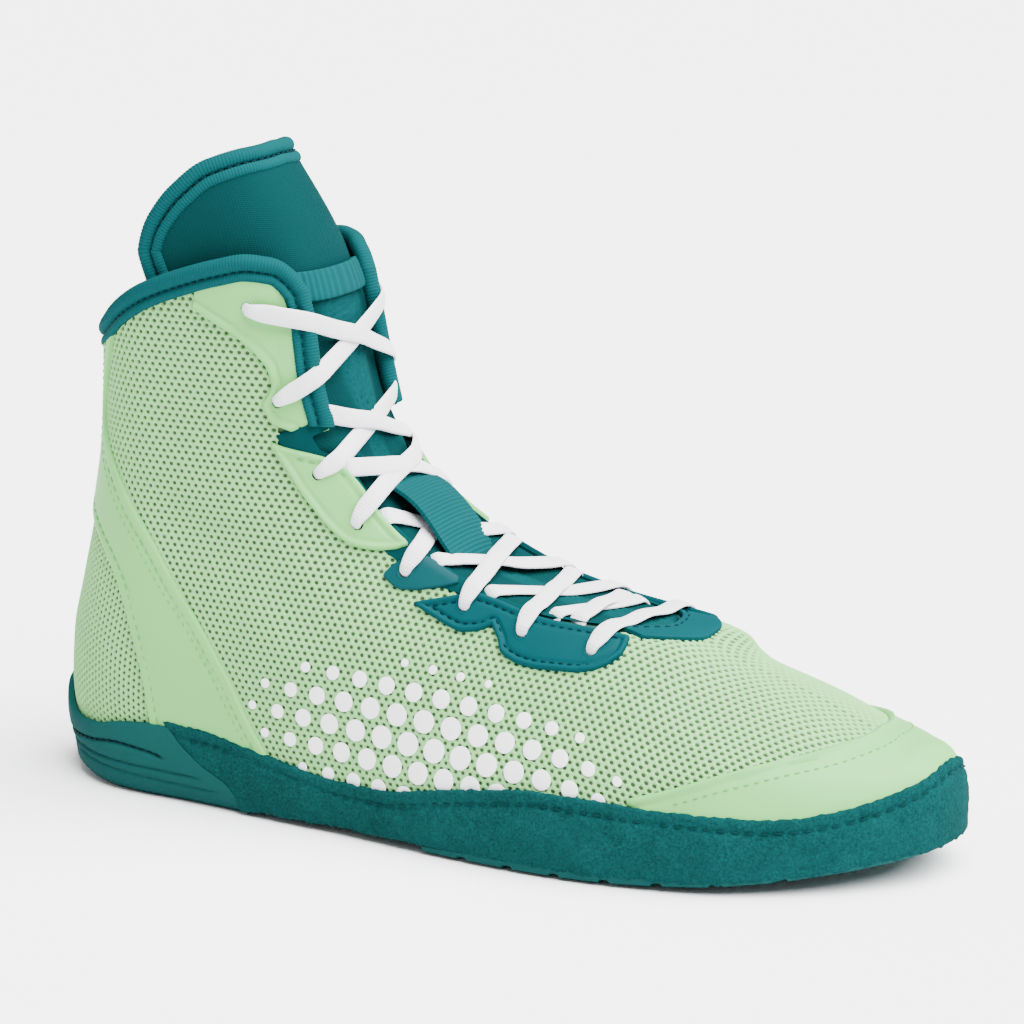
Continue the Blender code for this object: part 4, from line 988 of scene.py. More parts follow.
def sewLine(thread, q, z, out, look={}, form=skin):
    # each stitch is a small barrel, square to the skin, at even steps along the line
    look = {**stitch, **look}
    p, n = form.at(q, z, out), form.normal(q, z)
    run = lengthAlong(p)
    count = max(1, int(run[-1] / (look["long"] + look["gap"])))
    s = (np.arange(count) + 0.5) * run[-1] / count

    def read(values, where):
        return np.stack([np.interp(where, run, values[:, k]) for k in range(3)], -1)
    c, normal = read(p, s), unit(read(n, s))
    t = unit(read(p, s + 0.4) - read(p, s - 0.4))
    b = np.cross(normal, t)
    a = np.linspace(0.12, np.pi - 0.12, look["sections"])[:, None]
    ring = np.linspace(0, 2 * np.pi, look["round"], endpoint=False)[None]
    swell = np.sin(a) ** 0.6
    x = -np.cos(a) * look["long"] / 2 * np.ones_like(ring)
    y = swell * np.cos(ring) * look["wide"] / 2
    h = swell * np.sin(ring) * look["high"] - 0.25 * (1 - np.sin(a))
    local = np.stack([x, y, h], -1).reshape(-1, 3)
    points = (c[:, None] + t[:, None] * local[None, :, :1] + b[:, None] * local[None, :, 1:2]
              + normal[:, None] * local[None, :, 2:])
    grid = gridFaces(look["sections"], look["round"], True)
    faces = grid[None] + (np.arange(count) * len(local))[:, None, None]
    threads[thread].append((points.reshape(-1, 3), faces.reshape(-1, 4)))


def insetLine(first, second, count, inset):
    # a line on the ruled sheet, inset from the second edge (or from the first where inset is minus)
    a, b = denseEdges(first, second, count)
    if inset < 0:
        a, b = b, a
    width = np.linalg.norm(skin.base(a[:, 0], a[:, 1]) - skin.base(b[:, 0], b[:, 1]), axis=1)
    share = np.minimum(abs(inset) / np.maximum(width, 1e-6), 0.5)[:, None]
    return (b + (a - b) * share).T


overTop = overlayLook["base"] + overlayLook["thick"]
q, z = insetLine(capFirst, capSecond, 240, cap["stitchIn"])
shown = np.abs(q) < cap["sewnTo"]
sewLine("threadMint", q[shown], z[shown], overTop + 0.02, {"long": 1.9, "gap": 1.0})
q, z = insetLine(stayFirst, staySecond, 60, throatStay["stitchIn"])
sewLine("threadTeal", q, z, overTop + 0.02)
smallStitch, stayStitch = {"long": 1.6, "gap": 1.1, "wide": 0.45}, {"long": 1.7, "gap": 0.9}
lowerSewn = [edge[1:] for edge in lowerEdges]
# thread, both edges, points, inset, offset from the overlay's face, stitch
sideSeams = [("threadMint", band[:, :2], band[:, 2:], 260, 3.4, -0.22, {}),
             ("threadMint", band[:10, :2], band[:10, 2:], 200, -3.4, -0.22, {}),
             ("threadMint", band[:, :2], band[:, 2:], 260, 5.4, -0.05, smallStitch),
             ("threadMint", midEdges[0][2:], midEdges[1][2:], 120, 2.3, -0.12, {}),
             ("threadTeal", *lowerSewn, 200, 2.2, -0.2, stayStitch),
             ("threadTeal", *lowerSewn, 200, -2.2, -0.2, stayStitch)]
for side in sides.values():
    for thread, first, second, count, inset, out, look in sideSeams:
        q, z = insetLine(first, second, count, inset)
        sewLine(thread, side * q, z, overTop + out, look)
print("stitch lines laid on the overlays")


# rand: suede wall with a soft top edge, pulled in along its stitches
rand = {"base": 0.30, "thick": 1.7, "puff": 0.35, "round": 1.1, "stitchDown": 3.7, "pull": 0.55,
        "pullWide": 0.9, "lump": 0.10, "ragged": 0.22, "seam": 0.324, "foot": -0.4, "footZ": 2.2,
        "headZ": 23.6, "tuck": 0.006, "lap": 0.008, "sewnTo": 0.70}


def makeRand(name, footQ, headQ, node, seed, joint=0):
    # rows run from the lower to the upper edge, and all edges get a foot that goes in to the wall;
    # joint is the sign of the side whose far end follows the heel cup's slanting seam
    f = np.concatenate([[0], np.linspace(0, 1, 30) ** 0.9, [1]])[:, None]
    low, high = randLow(np.abs(footQ)), randTop(np.abs(headQ))
    high = high + rand["ragged"] * lumps(skin.base(headQ, high), 2.6, seed)
    low = low + 1.4 * rand["ragged"] * lumps(skin.base(footQ, low), 3.4, seed + 1)
    z = low + (high - low) * f
    q = footQ + (headQ - footQ) * f
    if joint:
        q = q + (joint * (jointQ(z) + rand["tuck"]) - q[:, -1:]) * np.linspace(0, 1, len(footQ)) ** 6
    p = skin.base(q, z)
    d = nearest(p, np.concatenate([p[0], p[-1], p[:, 0], p[:, -1]]))
    sewn = np.exp(-((high - z - rand["stitchDown"]) / rand["pullWide"]) ** 2)
    out = rand["base"] + rand["thick"] * roundEdge((d + 0.25) / rand["round"])
    out = out + rand["puff"] * np.sin(np.pi * f) - rand["pull"] * sewn
    out = out + rand["lump"] * (lumps(p, 5.0, seed + 2) + 0.6 * lumps(p, 1.9, seed + 3))
    out[[0, -1]] = rand["foot"]
    out[:, [0, -1]] = rand["foot"]
    points = skin.at(q, z, out)
    faces = facing(points, gridFaces(*z.shape), skin.normal(q, z))
    return addPiece(name, points, faces, made["suede"], "suede", [node], sharp=60)


def doubleEnds(s):
    # repeats both ends, which become the foot of an edge
    return np.concatenate([s[:1], s, s[-1:]])


randStitch = {"long": 2.7, "gap": 1.3, "wide": 0.6}
randFace = rand["base"] + rand["thick"] - 0.05
for index, (label, side) in enumerate(sides.items()):
    s = doubleEnds(np.linspace(0, 1, 190))
    start = rand["seam"] - rand["lap"]
    footQ, headQ = [start + (float(jointQ(rand[end])) + rand["tuck"] - start) * s for end in ("footZ",
                                                                                              "headZ")]
    makeRand("rand_suede_" + label, side * footQ, side * headQ, "rand_" + label, 11 + 10 * index, side)
    sewQ = np.linspace(rand["seam"] + rand["tuck"], rand["sewnTo"], 300)
    sewLine("threadSuede", side * sewQ, randTop(sewQ) - rand["stitchDown"], randFace, randStitch)
toeQ = doubleEnds((rand["seam"] + 0.002) * np.linspace(-1, 1, 260))
makeRand("rand_suede_toe", toeQ, toeQ, "rand_toe", 51)
sewQ = np.linspace(-rand["seam"] + 0.004, rand["seam"] - 0.004, 400)
sewLine("threadSuede", sewQ, randTop(np.abs(sewQ)) - rand["stitchDown"], randFace, randStitch)
print("rand made")


# heel cup: rubber wall with grooves, a bevelled and nubbed lower edge and a flat tread
cup = {"around": 220, "rows": 46, "depth": 0.75, "wide": 0.50, "nub": 0.35, "nubPitch": 2.7, "corner": 22.4,
       "bevel": 2.6, "bevelEnds": (0.45, 0.5), "bevelIn": 1.6, "bevelHigh": 0.2, "bevelUp": 0.8,
       "grooveShare": (1.5, 1.0, 0.8), "grooveStart": 0.012, "grooveStop": 0.03, "sewn": (0.732, 1.268),
       "stitchOut": 2.25, "wall": [(0.0, -1.0), (0.08, 0.9), (0.24, 2.4), (0.45, 2.9), (0.62, 3.0),
                                   (0.85, 2.7), (0.97, 2.25),
                (1.0, 1.7)],
       "grooves": [[(0.725, 12.4), (0.75, 14.2), (0.785, 15.0), (0.83, 13.6), (0.90, 12.6), (1.0, 13.4)],
                   [(0.690, 8.6), (0.75, 9.0), (0.80, 9.4), (0.86, 9.8), (0.94, 10.2)],
                   [(0.675, 5.4), (0.73, 5.7), (0.79, 6.6), (0.84, 7.4), (0.89, 8.2)]]}


def makeCup():
    # q runs between both joints round the back; the offset is a curve over height less bell-shaped grooves
    s = doubleEnds(np.linspace(-1, 1, cup["around"]))
    t = np.concatenate([np.linspace(0, 1, cup["rows"]), [1.0, 1.0]])[:, None]
    corner = jointQ(cup["corner"])
    top = cupTop(corner + (1 - corner) * (1 - np.abs(s)))
    z = top * t
    join = jointQ(z) + 0.003
    q = join + (1 - join) * (1 - np.abs(s))
    bevel = cup["bevel"] * ramp(1 - np.abs(s), *cup["bevelEnds"])
    out = smoothCurve(cup["wall"])(t) - cup["bevelIn"] * bevel * (1 - ease(t / cup["bevelHigh"]))
    lift = cup["bevelUp"] * bevel * np.exp(-((t - 0.05) / 0.08) ** 2)
    for deep, rows in zip(cup["grooveShare"], cup["grooves"]):
        line = smoothCurve(rows)(q)
        inside, stop = ramp(q, rows[0][0], cup["grooveStart"]), rows[-1][0]
        if stop < 1:
            inside = inside * ease((stop - q) / cup["grooveStop"])
        out = out - deep * cup["depth"] * inside * np.exp(-((z - line) / cup["wide"]) ** 2)
    p = skin.base(np.sign(s) * q, z)
    nubs = np.sin(2 * np.pi * lengthAlong(p[6]) / cup["nubPitch"])
    out = out + cup["nub"] * nubs * np.exp(-((t - 0.1) / 0.08) ** 2) * ease((1 - np.abs(s)) / 0.4)
    out[-2:] = 0.3
    out[-1] = -0.2
    out[:, [0, -1]] = 0.2
    z = z + lift
    z[-1] -= 4
    points = skin.at(np.sign(s) * q, z, out)
    points[..., 2] = z
    flat = points[0].copy()
    flat[:, 1] = skin.centre(flat[:, 0], np.full(len(s), last["feather"]))
    points = np.concatenate([flat[None], points])
    normal = np.concatenate([np.tile([0, 0, -1.0], (1, len(s), 1)), skin.normal(np.sign(s) * q, z)])
    faces = facing(points, gridFaces(*points.shape[:2]), normal)
    return addPiece("heel_cup", points, faces, made["rubber"], "rubber", ["outsole_heel"], sharp=50)


makeCup()
sewQ = np.linspace(*cup["sewn"], 300)
sewZ = smoothCurve(cup["grooves"][0])(1 - np.abs(sewQ - 1))
sewLine("threadTeal", sewQ, sewZ, cup["stitchOut"], {"long": 2.3, "gap": 0.8, "wide": 0.75, "high": 0.4})
for node in ("outsole_forefoot", "arch_panel"):
    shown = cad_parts[node]
    shown.data.materials.clear()
    shown.data.materials.append(made["rubber" if node == "outsole_forefoot" else "suede"])
print("soles made")


# insole: a soft sheet that dips a little in the heel
insole = {"top": 11.0, "inset": -2.5, "dip": 0.8, "dipTo": 110, "dipLong": 60, "thick": 2.2}


def makeInsole():
    # straight lines between both sides of the feather line, dipped by a parabola
    u, v = np.linspace(0.0, 1.0, 90)[:, None], np.linspace(-1, 1, 31)[None]
    left, right = skin.at(-u, last["feather"], insole["inset"]), skin.at(u, last["feather"], insole["inset"])
    p = left * (1 - v[..., None]) / 2 + right * (1 + v[..., None]) / 2
    dip = insole["dip"] * (1 - v**2) * ease((insole["dipTo"] - p[..., 0]) / insole["dipLong"])
    p[..., 2] = insole["top"] + toeSpring(p[..., 0]) - dip
    faces = facing(p, gridFaces(*p.shape[:2]), np.broadcast_to([0, 0, 1.0], p.shape))
    piece = addPiece("insole_cloth", p, faces, made["insole"], "insole", ["insole"], merge=1e-5)
    thick = piece.modifiers.new("foam", "SOLIDIFY")
    thick.thickness, thick.offset = insole["thick"] * origin["scale"], -1.0
    return piece


makeInsole()
print("insole made")


# bindings: ribbed tape rolled over an edge; profile of distance into the panel and offset outwards
tape = {"rib": 0.07, "step": 0.45,
        "flap": (114.9, 151.5), "stitchIn": 3.0,
        "collar": [(5.9, 0.2), (5.85, 1.1), (5.3, 1.65), (4.5, 1.75), (3.8, 1.5), (3.35, 0.9), (3.0, 0.55),
                   (2.65, 0.9), (2.2, 1.7), (1.3, 2.2), (0.2, 2.2), (-0.9, 1.7), (-1.65, 0.5), (-1.85, -0.9),
                   (-1.55, -2.0), (-0.7, -2.8), (0.7, -3.1), (2.6, -3.0), (2.8, -2.3), (1.0, -0.8)],
        "beadWide": 2.5, "beadHigh": 2.7, "beadIn": -2.2, "beadPoints": 18}


def sweepEdge(name, form, q, z, into, profile, out, stands=()):
    # even steps along an edge of the form, the profile a little wider at every second step for the ribs
    p = form.at(q, z, out)
    run = lengthAlong(p)
    s = np.arange(0, run[-1], tape["step"])
    q, z = np.interp(s, run, q), np.interp(s, run, z)
    p, n = form.at(q, z, out), form.normal(q, z)
    n = unit(softened(n, 13))
    t = unit(softened(unit(np.gradient(p, axis=0)), 13))
    wide = unit(np.cross(n, t)) * into
    rib = tape["rib"] * np.where(np.arange(len(s)) % 2, 1.0, -1.0)
    profile = np.array(profile)
    away = unit(profile - profile.mean(0))
    shaped = profile[None] + away[None] * rib[:, None, None]
    points, faces = sweep(p, wide, n, shaped)
    around = lengthAlong(np.concatenate([profile, profile[:1]]))[:-1]
    weave = np.stack([np.repeat(s, len(profile)), np.tile(around, len(s)), np.zeros(len(s) * len(profile))],
                     -1)
    return addPiece(name, points, faces, made["tape"], "tape", stands, {"weave": weave}, closed=True,
                    sharp=0)


flapZ = np.linspace(*tape["flap"], 60)
topQ = np.concatenate([np.linspace(0.2003, 0.275, 24), np.linspace(0.285, 1.0, 80)])
halfQ, halfZ = np.concatenate([throatQ(flapZ), topQ]), np.concatenate([flapZ, collarZ(topQ)])
collarHeights = np.concatenate([halfZ, halfZ[-2::-1]])
collarQ = np.concatenate([2 - halfQ, halfQ[-2::-1]])       # outer side first, as q from 2 down to 1
sweepEdge("collar_tape", skin, collarQ, collarHeights, 1.0, tape["collar"], 0.0, ["collar_binding"])


def shiftInside(q, z, far, form=skin):
    # moves an edge line into its panel: least squares for the two skin steps
    into = unit(np.cross(form.normal(q, z), np.gradient(form.base(q, z), axis=0))) * far
    stepQ = (form.base(q + 2e-3, z) - form.base(q - 2e-3, z)) / 4e-3
    stepZ = (form.base(q, z + 0.2) - form.base(q, z - 0.2)) / 0.4
    a, b, c = (stepQ**2).sum(-1), (stepQ * stepZ).sum(-1), (stepZ**2).sum(-1)
    u, v = (into * stepQ).sum(-1), (into * stepZ).sum(-1)
    return q + (c * u - b * v) / (a * c - b * b), z + (a * v - b * u) / (a * c - b * b)


sewQ, sewZ = shiftInside(collarQ, collarHeights, tape["stitchIn"])
sewLine("threadTeal", sewQ, sewZ, 0.75, {"long": 1.8, "gap": 0.7, "wide": 0.7})

# tongue: padded sheet under the throat that stands over the collar
tongue = {"depth": 2.7, "thick": 3.0, "bulge": 2.6, "pad": 1.0, "rows": 230, "columns": 112,
          "knitHalf": 0.085, "rough": 0.28, "shoulder": 3.2, "perQ": 60, "knitTo": 152, "knitOut": 0.25,
          "edgeSide": 0.06, "edgeTop": 0.02, "edgeThin": 1.2, "padInside": 1.6,
          # start and length of the ramps over height, or over the share of the throat's half width
          "bulgeLow": (61, 5), "bulgeHigh": (98, 16), "snugSide": (0.55, 0.4), "snugLow": (100, 10),
          "snugHigh": (146, 10), "padFrom": (152, 14),
          "half": [(57, 0.13), (62, 0.20), (66, 0.30), (70, 0.35), (81, 0.385), (96, 0.40), (115, 0.46),
                   (136, 0.52), (155, 0.57), (168, 0.59), (200, 0.54)],
          "top": [(0, 191.5), (0.3, 190.3), (0.6, 186.6), (0.8, 179.3), (0.93, 170.5), (1.0, 163)]}
tongueHalf, tongueTop = smoothCurve(tongue["half"]), smoothCurve(tongue["top"])


def makeTongue():
    # two faces over one grid, even columns so that none lies on the form's front line; the outer one bulges
    # into the throat, has shoulders under the flaps, a pad at its top and a rough strip down its middle
    s = np.linspace(-1, 1, tongue["columns"])
    f = np.linspace(0, 1, tongue["rows"])[:, None]
    foot = tongue["half"][0][0]
    z = foot + (tongueTop(np.abs(s)) - foot) * f
    q = s * tongueHalf(z)
    gap = throatEdge(z)
    inGap = np.clip(1 - (q / (1.15 * np.maximum(gap, 0.05))) ** 10, 0, 1)
    bulge = tongue["bulge"] * inGap * ramp(z, *tongue["bulgeLow"]) * (1 - ramp(z, *tongue["bulgeHigh"]))
    snug = ramp(np.abs(q) / gap, *tongue["snugSide"]) * ramp(z, *tongue["snugLow"])
    snug = snug * (1 - ramp(z, *tongue["snugHigh"]))
    bulge = bulge + tongue["shoulder"] * snug
    pad = tongue["pad"] * ramp(z, *tongue["padFrom"]) * (1 - s**4) * (1 - f**8)
    edge = np.clip((1 - np.abs(s)) / tongue["edgeSide"], 0, 1) * np.clip((1 - f) / tongue["edgeTop"], 0, 1)
    rough = np.exp(-(q / tongue["knitHalf"]) ** 8) * (z < tongue["knitTo"])
    strip = rough * (tongue["knitOut"] + tongue["rough"] * lumps(tongueSkin.base(q, z), 2.1, 71))
    thin = tongue["edgeThin"] * (1 - np.sqrt(edge))
    outer = -tongue["depth"] - thin + bulge + pad + strip
    inner = -tongue["depth"] - tongue["thick"] + thin - tongue["padInside"] * pad + tongue["shoulder"] * snug
    p = np.concatenate([tongueSkin.at(q, z, outer), tongueSkin.at(q, z, inner)[:, ::-1]], 1)
    inside = np.concatenate([rough, np.zeros_like(rough)], 1).ravel()
    along = np.concatenate([q, q[:, ::-1]], 1) * tongue["perQ"]
    high = np.concatenate([z, z[:, ::-1]], 1)
    weave = np.stack([along, high, 0 * high], -1).reshape(-1, 3)
    piece = addPiece("tongue_pad", p, tubeFaces(*p.shape[:2]), made["knit"], "tongue", ["tongue"],
                     {"weave": weave, "inside": inside}, closed=True)
    return piece


makeTongue()
s = np.linspace(-1, 1, 160)
rim = 136 + (tongueTop(1.0) - 136) * np.linspace(0.45, 0.98, 30)
beadZ = np.concatenate([rim, tongueTop(np.abs(s)), rim[::-1]])
beadQ = np.concatenate([-tongueHalf(rim), s * tongueHalf(tongueTop(np.abs(s))), tongueHalf(rim[::-1])])
angle = np.linspace(0, 2 * np.pi, tape["beadPoints"], endpoint=False)
bead = np.stack([tape["beadIn"] + tape["beadWide"] * np.cos(angle), tape["beadHigh"] * np.sin(angle)], -1)
middle = -tongue["depth"] - tongue["thick"] / 2
sweepEdge("tongue_tape", tongueSkin, beadQ, beadZ, -1.0, bead, middle, ["tongue_binding"])
rollQ, rollZ = shiftInside(beadQ, beadZ, -2.1, tongueSkin)
roll = np.stack([1.6 * np.cos(angle), 1.0 * np.sin(angle)], -1)
sweepEdge("tongue_roll", tongueSkin, rollQ, rollZ, -1.0, roll, -tongue["depth"] + 0.1)
sewQ, sewZ = shiftInside(beadQ, beadZ, -0.3, tongueSkin)
rollStitch = {"long": 1.8, "gap": 0.8, "wide": 0.7}
sewLine("threadTeal", sewQ, sewZ, -tongue["depth"] + 0.35, rollStitch, tongueSkin)
print("tongue and bindings made")

# webbing: the keeper over the lace and the tab across the tongue
webbing = {"keeperLow": 88.3, "keeperHigh": 108.2, "halfLow": 12.6, "halfHigh": 10.6, "arch": 6.4,
           "archPower": 0.85, "base": 0.6, "droop": 1.2, "thick": 1.2, "rib": 0.13, "pitch": 1.3,
           "tabLow": 150.5, "tabHigh": 159.0, "tabHalf": 0.155, "tabMiddle": -0.035, "tabOut": 1.9,
           "tabArch": 0.5, "keeperGrid": (150, 30), "tabGrid": (40, 60)}


def makeStrap(name, place, along, across, stands):
    # a sheet with ribs across it, its four edges turned down to its thickness
    n, m = along.shape
    edge = np.ones((n, m))
    edge[[0, -1]] = 0
    edge[:, [0, -1]] = 0
    top = place(webbing["rib"] * np.cos(2 * np.pi * along / webbing["pitch"]) * edge)
    p = np.concatenate([top, place(-webbing["thick"])[:, ::-1]], 1)
    ribs = along * finishes["tape"]["pitch"] / webbing["pitch"]
    weave = np.stack([np.concatenate([ribs, ribs[:, ::-1]], 1), np.concatenate([across, across[:, ::-1]], 1),
                      np.zeros((n, 2 * m))], -1).reshape(-1, 3)
    return addPiece(name, p, tubeFaces(n, 2 * m), made["tape"], "tape", stands, {"weave": weave},
                    closed=True)


def makeKeeper():
    # straight across the ridge, a sine arch over the crossing laces, drooping with the square of its width
    rows, columns = webbing["keeperGrid"]
    t, w = np.linspace(0, 1, rows)[:, None], np.linspace(-1, 1, columns)[None]
    level = (webbing["keeperLow"] + (webbing["keeperHigh"] - webbing["keeperLow"]) * t)[:, 0]
    front = np.full(rows, 1e-3)
    ridge, up = skin.base(front, level), skin.normal(front, level)
    across = (webbing["halfLow"] + (webbing["halfHigh"] - webbing["halfLow"]) * t) * w
    arch = webbing["arch"] * np.clip(np.sin(np.pi * t), 0, 1) ** webbing["archPower"]
    out = webbing["base"] + arch - webbing["droop"] * w**2
    along = lengthAlong(ridge)[:, None] * np.ones((1, columns))

    def place(rise):
        return ridge[:, None] + across[..., None] * [0, 1, 0] + up[:, None] * (out + rise)[..., None]
    return makeStrap("keeper_webbing", place, along, across, ["lace_keeper"])


def makeTab():
    # a level band on the tongue, arched by a fourth power over its height
    rows, columns = webbing["tabGrid"]
    z = np.linspace(webbing["tabLow"], webbing["tabHigh"], rows)[:, None] * np.ones((1, columns))
    q = webbing["tabMiddle"] + webbing["tabHalf"] * np.linspace(-1, 1, columns)[None] * np.ones((rows, 1))
    t = (z - webbing["tabLow"]) / (webbing["tabHigh"] - webbing["tabLow"])
    arch = webbing["tabArch"] * np.sqrt(np.clip(1 - (2 * t - 1) ** 4, 0, 1))
    out = -tongue["depth"] + webbing["tabOut"] + arch
    return makeStrap("tongue_tab", lambda rise: tongueSkin.at(q, z, out + rise), q * tongue["perQ"], z, ())


makeKeeper()
makeTab()
print("webbing made")


# lace: one flat lace from hole to hole; the profile is a flat ribbon with round edges
lace = {"wide": 5.5, "thick": 1.35, "gather": 0.55, "swell": 1.7, "over": 1.95, "throat": 0.75,
        "under": -2.6, "lift": 1.35, "tape": 3.5, "stations": 110, "inner": 24, "dive": 4.5, "points": 16,
        "beyond": 1.2, "rise": 2.2, "aim": 0.92, "liftWide": 6.5, "gatherLong": 7.0, "humpWide": 15.0,
        "humpStart": 8.0, "lipElse": 3.5, "tight": (92, 14), "calm": 8,
        # by crossing, counted from the collar
        "hump": {3: 4.6, 5: 1.8}, "lip": {7: 2.3}}


def chordOnSkin(a, b, count):
    # the straight chord between two skin points, pushed out along their mean normal to the skin
    pa, pb = skin.at(*a), skin.at(*b)
    aim = unit(skin.normal(*a) + skin.normal(*b))
    chord = pa + (pb - pa) * np.linspace(0, 1, count)[:, None]
    low, high = np.zeros(count), np.full(count, 60.0)
    for _ in range(40):
        mid = (low + high) / 2
        x, y, level = roundThroat(chord + aim * mid[:, None])
        out = np.abs(y - skin.centre(x, level)) > skin.halfWidth(x, np.maximum(level, 8))
        high, low = np.where(out, mid, high), np.where(out, low, mid)
    p = chord + aim * high[:, None]
    x, y, level = roundThroat(p)
    q = np.sign(y - skin.centre(x, level)) * skin.ringQ(x, level)
    q[0], q[-1] = a[0], b[0]
    level[0], level[-1] = a[1], b[1]
    return q, level, skin.normal(q, level), p


def flatRun(a, b, count):
    # straight on the unrolled skin: the way along the ridge grows evenly with the girth across it,
    # and the part over the open throat is a straight line
    q, z = np.linspace(a[0], b[0], count), np.linspace(a[1], b[1], count)
    level = (a[1] + b[1]) / 2 + 5
    foot, head = skin.base(np.full(2, 1e-3), np.array([level - 8, level + 8]))
    along = unit(head - foot)
    for _ in range(12):
        skinPoint = skin.base(q, z)
        p, n = skinPoint.copy(), skin.normal(q, z)
        gap = np.flatnonzero(np.abs(q) < throatEdge(z))
        i, j = gap[0] - 1, gap[-1] + 2
        t = np.linspace(0, 1, j - i)[:, None]
        p[i:j] = p[i] * (1 - t) + p[j - 1] * t
        n[i:j] = unit(n[i] * (1 - t) + n[j - 1] * t)
        way = skinPoint @ along
        girth = lengthAlong(p - (p @ along)[:, None] * along)
        want = way[0] + (way[-1] - way[0]) * girth / girth[-1]
        slope = np.maximum((skin.base(q, z + 0.5) - skin.base(q, z - 0.5)) @ along, 0.3)
        z = z + np.clip((want - way) / slope, -3, 3) * 0.7
    return q, z, n, p


def overRun(a, b, startsIn, endsIn, onTop, taped, hump=0.0, shift=0.0):
    # the part of the lace that shows; it starts and ends in a hole or under a flap's edge
    ends = [a, b]
    q, z, n, p = chordOnSkin(a, b, lace["stations"])
    for end, inside, i, j in ((0, startsIn, 0, 2), (1, endsIn, -1, -3)):
        if inside == "hole":
            step = lace["beyond"] / np.linalg.norm(p[j] - p[i])
            ends[end] = (q[i] - (q[j] - q[i]) * step, z[i] - (z[j] - z[i]) * step)
    q, z, n, p = chordOnSkin(*ends, lace["stations"])
    tight = float(ramp(z.mean(), *lace["tight"]))
    if tight > 0:
        q, z, n, p = [x + tight * (y - x) for x, y in zip((q, z, n, p), flatRun(*ends, lace["stations"]))]
        n = unit(n)
        run = lengthAlong(p)
        p += (softened(p, 23) - p) * ease(np.minimum(run, run[-1] - run) / lace["calm"])[:, None]
    run = lengthAlong(p)
    total = run[-1]
    edge = throatEdge(z)
    inThroat = softened((np.abs(q) < edge).astype(float) * (1 - tight), 25)
    top = lace["tape"] if taped else lace["over"]
    height = top + (lace["throat"] - top) * inThroat
    middle = run[np.argmin(np.abs(q))]
    if onTop:
        height = height + lace["lift"] * np.exp(-((run - middle) / lace["liftWide"]) ** 2)
    rise = hump * np.exp(-((run - middle) / lace["humpWide"]) ** 2)
    wide, thick = np.ones(len(run)), np.ones(len(run))
    for inside, away in ((startsIn, run), (endsIn, total - run)):
        if inside == "hole":
            height = lace["under"] + (height - lace["under"]) * ease((away + 0.3) / lace["rise"])
            near = 1 - ease(away / lace["gatherLong"])
            wide, thick = wide - (1 - lace["gather"]) * near, thick + (lace["swell"] - 1) * near
        else:
            lip = away[np.argmin(np.abs(np.abs(q) - edge) + 100 * (away > total / 2))]
            height = lace["under"] + (height - lace["under"]) * ease((away - lip + shift) / lace["dive"])
            rise = rise * ease((away - lip) / lace["humpStart"])
    height = height + rise
    return p + n * height[:, None], n, wide, thick


def innerRun(a, b, endsInHole):
    # the part behind the flap, from its edge to a hole or back
    t = np.linspace(0, 1, lace["inner"])[1:-1]
    q, z = a[0] + (b[0] - a[0]) * t, a[1] + (b[1] - a[1]) * t
    n = skin.normal(q, z)
    near = 1 - ease((t[::-1] if endsInHole else t) * 2.2)
    return skin.at(q, z, lace["under"]), n, 1 - (1 - lace["gather"]) * near, 1 + (lace["swell"] - 1) * near


def halfLace(side):
    # from the toe bar's hole up to the collar: one list of runs with the sign of their width
    runs = []
    start = np.array(eyes[7]) * 0.55 + np.array(eyes[6]) * 0.45
    here, hole = side, (side * eyes[7][0], eyes[7][1])
    under = (side * start[0], start[1])
    runs.append((-1, innerRun(hole, under, False)))
    for i in range(7, 0, -1):
        lateral = here < 0
        onTop = lateral if i != 2 else not lateral
        if i == 1:
            far = (-here * eyes[0][0], eyes[0][1])
            runs.append((1, overRun(hole, far, "hole", "hole", not lateral, True)))
            break
        mixed = np.array(eyes[i - 1]) * lace["aim"] + np.array(eyes[i]) * (1 - lace["aim"])
        far = (-here * mixed[0], mixed[1])
        begin, inside = (under, "edge") if i == 7 else (hole, "hole")
        hump, shift = lace["hump"].get(i, 0.0), lace["lip"].get(i, lace["lipElse"])
        runs.append((1, overRun(begin, far, inside, "edge", onTop, False, hump, shift)))
        here = -here
        hole = (here * eyes[i - 1][0], eyes[i - 1][1])
        runs.append((-1, innerRun(far, hole, True)))
    return runs


def makeLace():
    # a superellipse carried along all runs, its width square to the path and to the normal
    bar = overRun((-eyes[7][0], eyes[7][1]), eyes[7], "hole", "hole", True, False)
    back = [(sign, tuple(x[::-1] for x in run)) for sign, run in halfLace(-1)[::-1]]
    runs = back + [(1, bar)] + halfLace(1)
    p, n, wide, thick = [np.concatenate([run[k] for sign, run in runs]) for k in range(4)]
    sign = np.concatenate([np.full(len(run[0]), s) for s, run in runs])
    p = softened(p, 7)
    t = unit(np.gradient(p, axis=0))
    across = softened(softened(np.cross(n, t) * sign[:, None], 7), 7)
    across = unit(across - t * (across * t).sum(1, keepdims=True))
    tall = np.cross(t, across)
    wide, thick = softened(wide, 7) * lace["wide"] / 2, softened(thick, 7) * lace["thick"] / 2
    a = np.linspace(0, 2 * np.pi, lace["points"], endpoint=False)
    flat = np.stack([np.sign(x) * np.abs(x) ** power for x, power in ((np.cos(a), 0.7), (np.sin(a), 0.95))],
                    -1)
    profile = flat[None] * np.stack([wide, thick], -1)[:, None]
    points, faces = sweep(p, across, tall, profile)
    run = lengthAlong(p)
    way = np.repeat(run, lace["points"])
    weave = np.stack([way, profile[..., 0].ravel(), np.zeros(len(way))], -1)
    print("lace length laid, mm:", round(run[-1]))
    solids = ["lace_bar"] + ["lace_cross_%d" % k for k in range(1, 8)]
    return addPiece("lace", points, faces, made["lace"], "lace", solids, {"weave": weave}, closed=True,
                    sharp=0)


makeLace()
print("lace made")

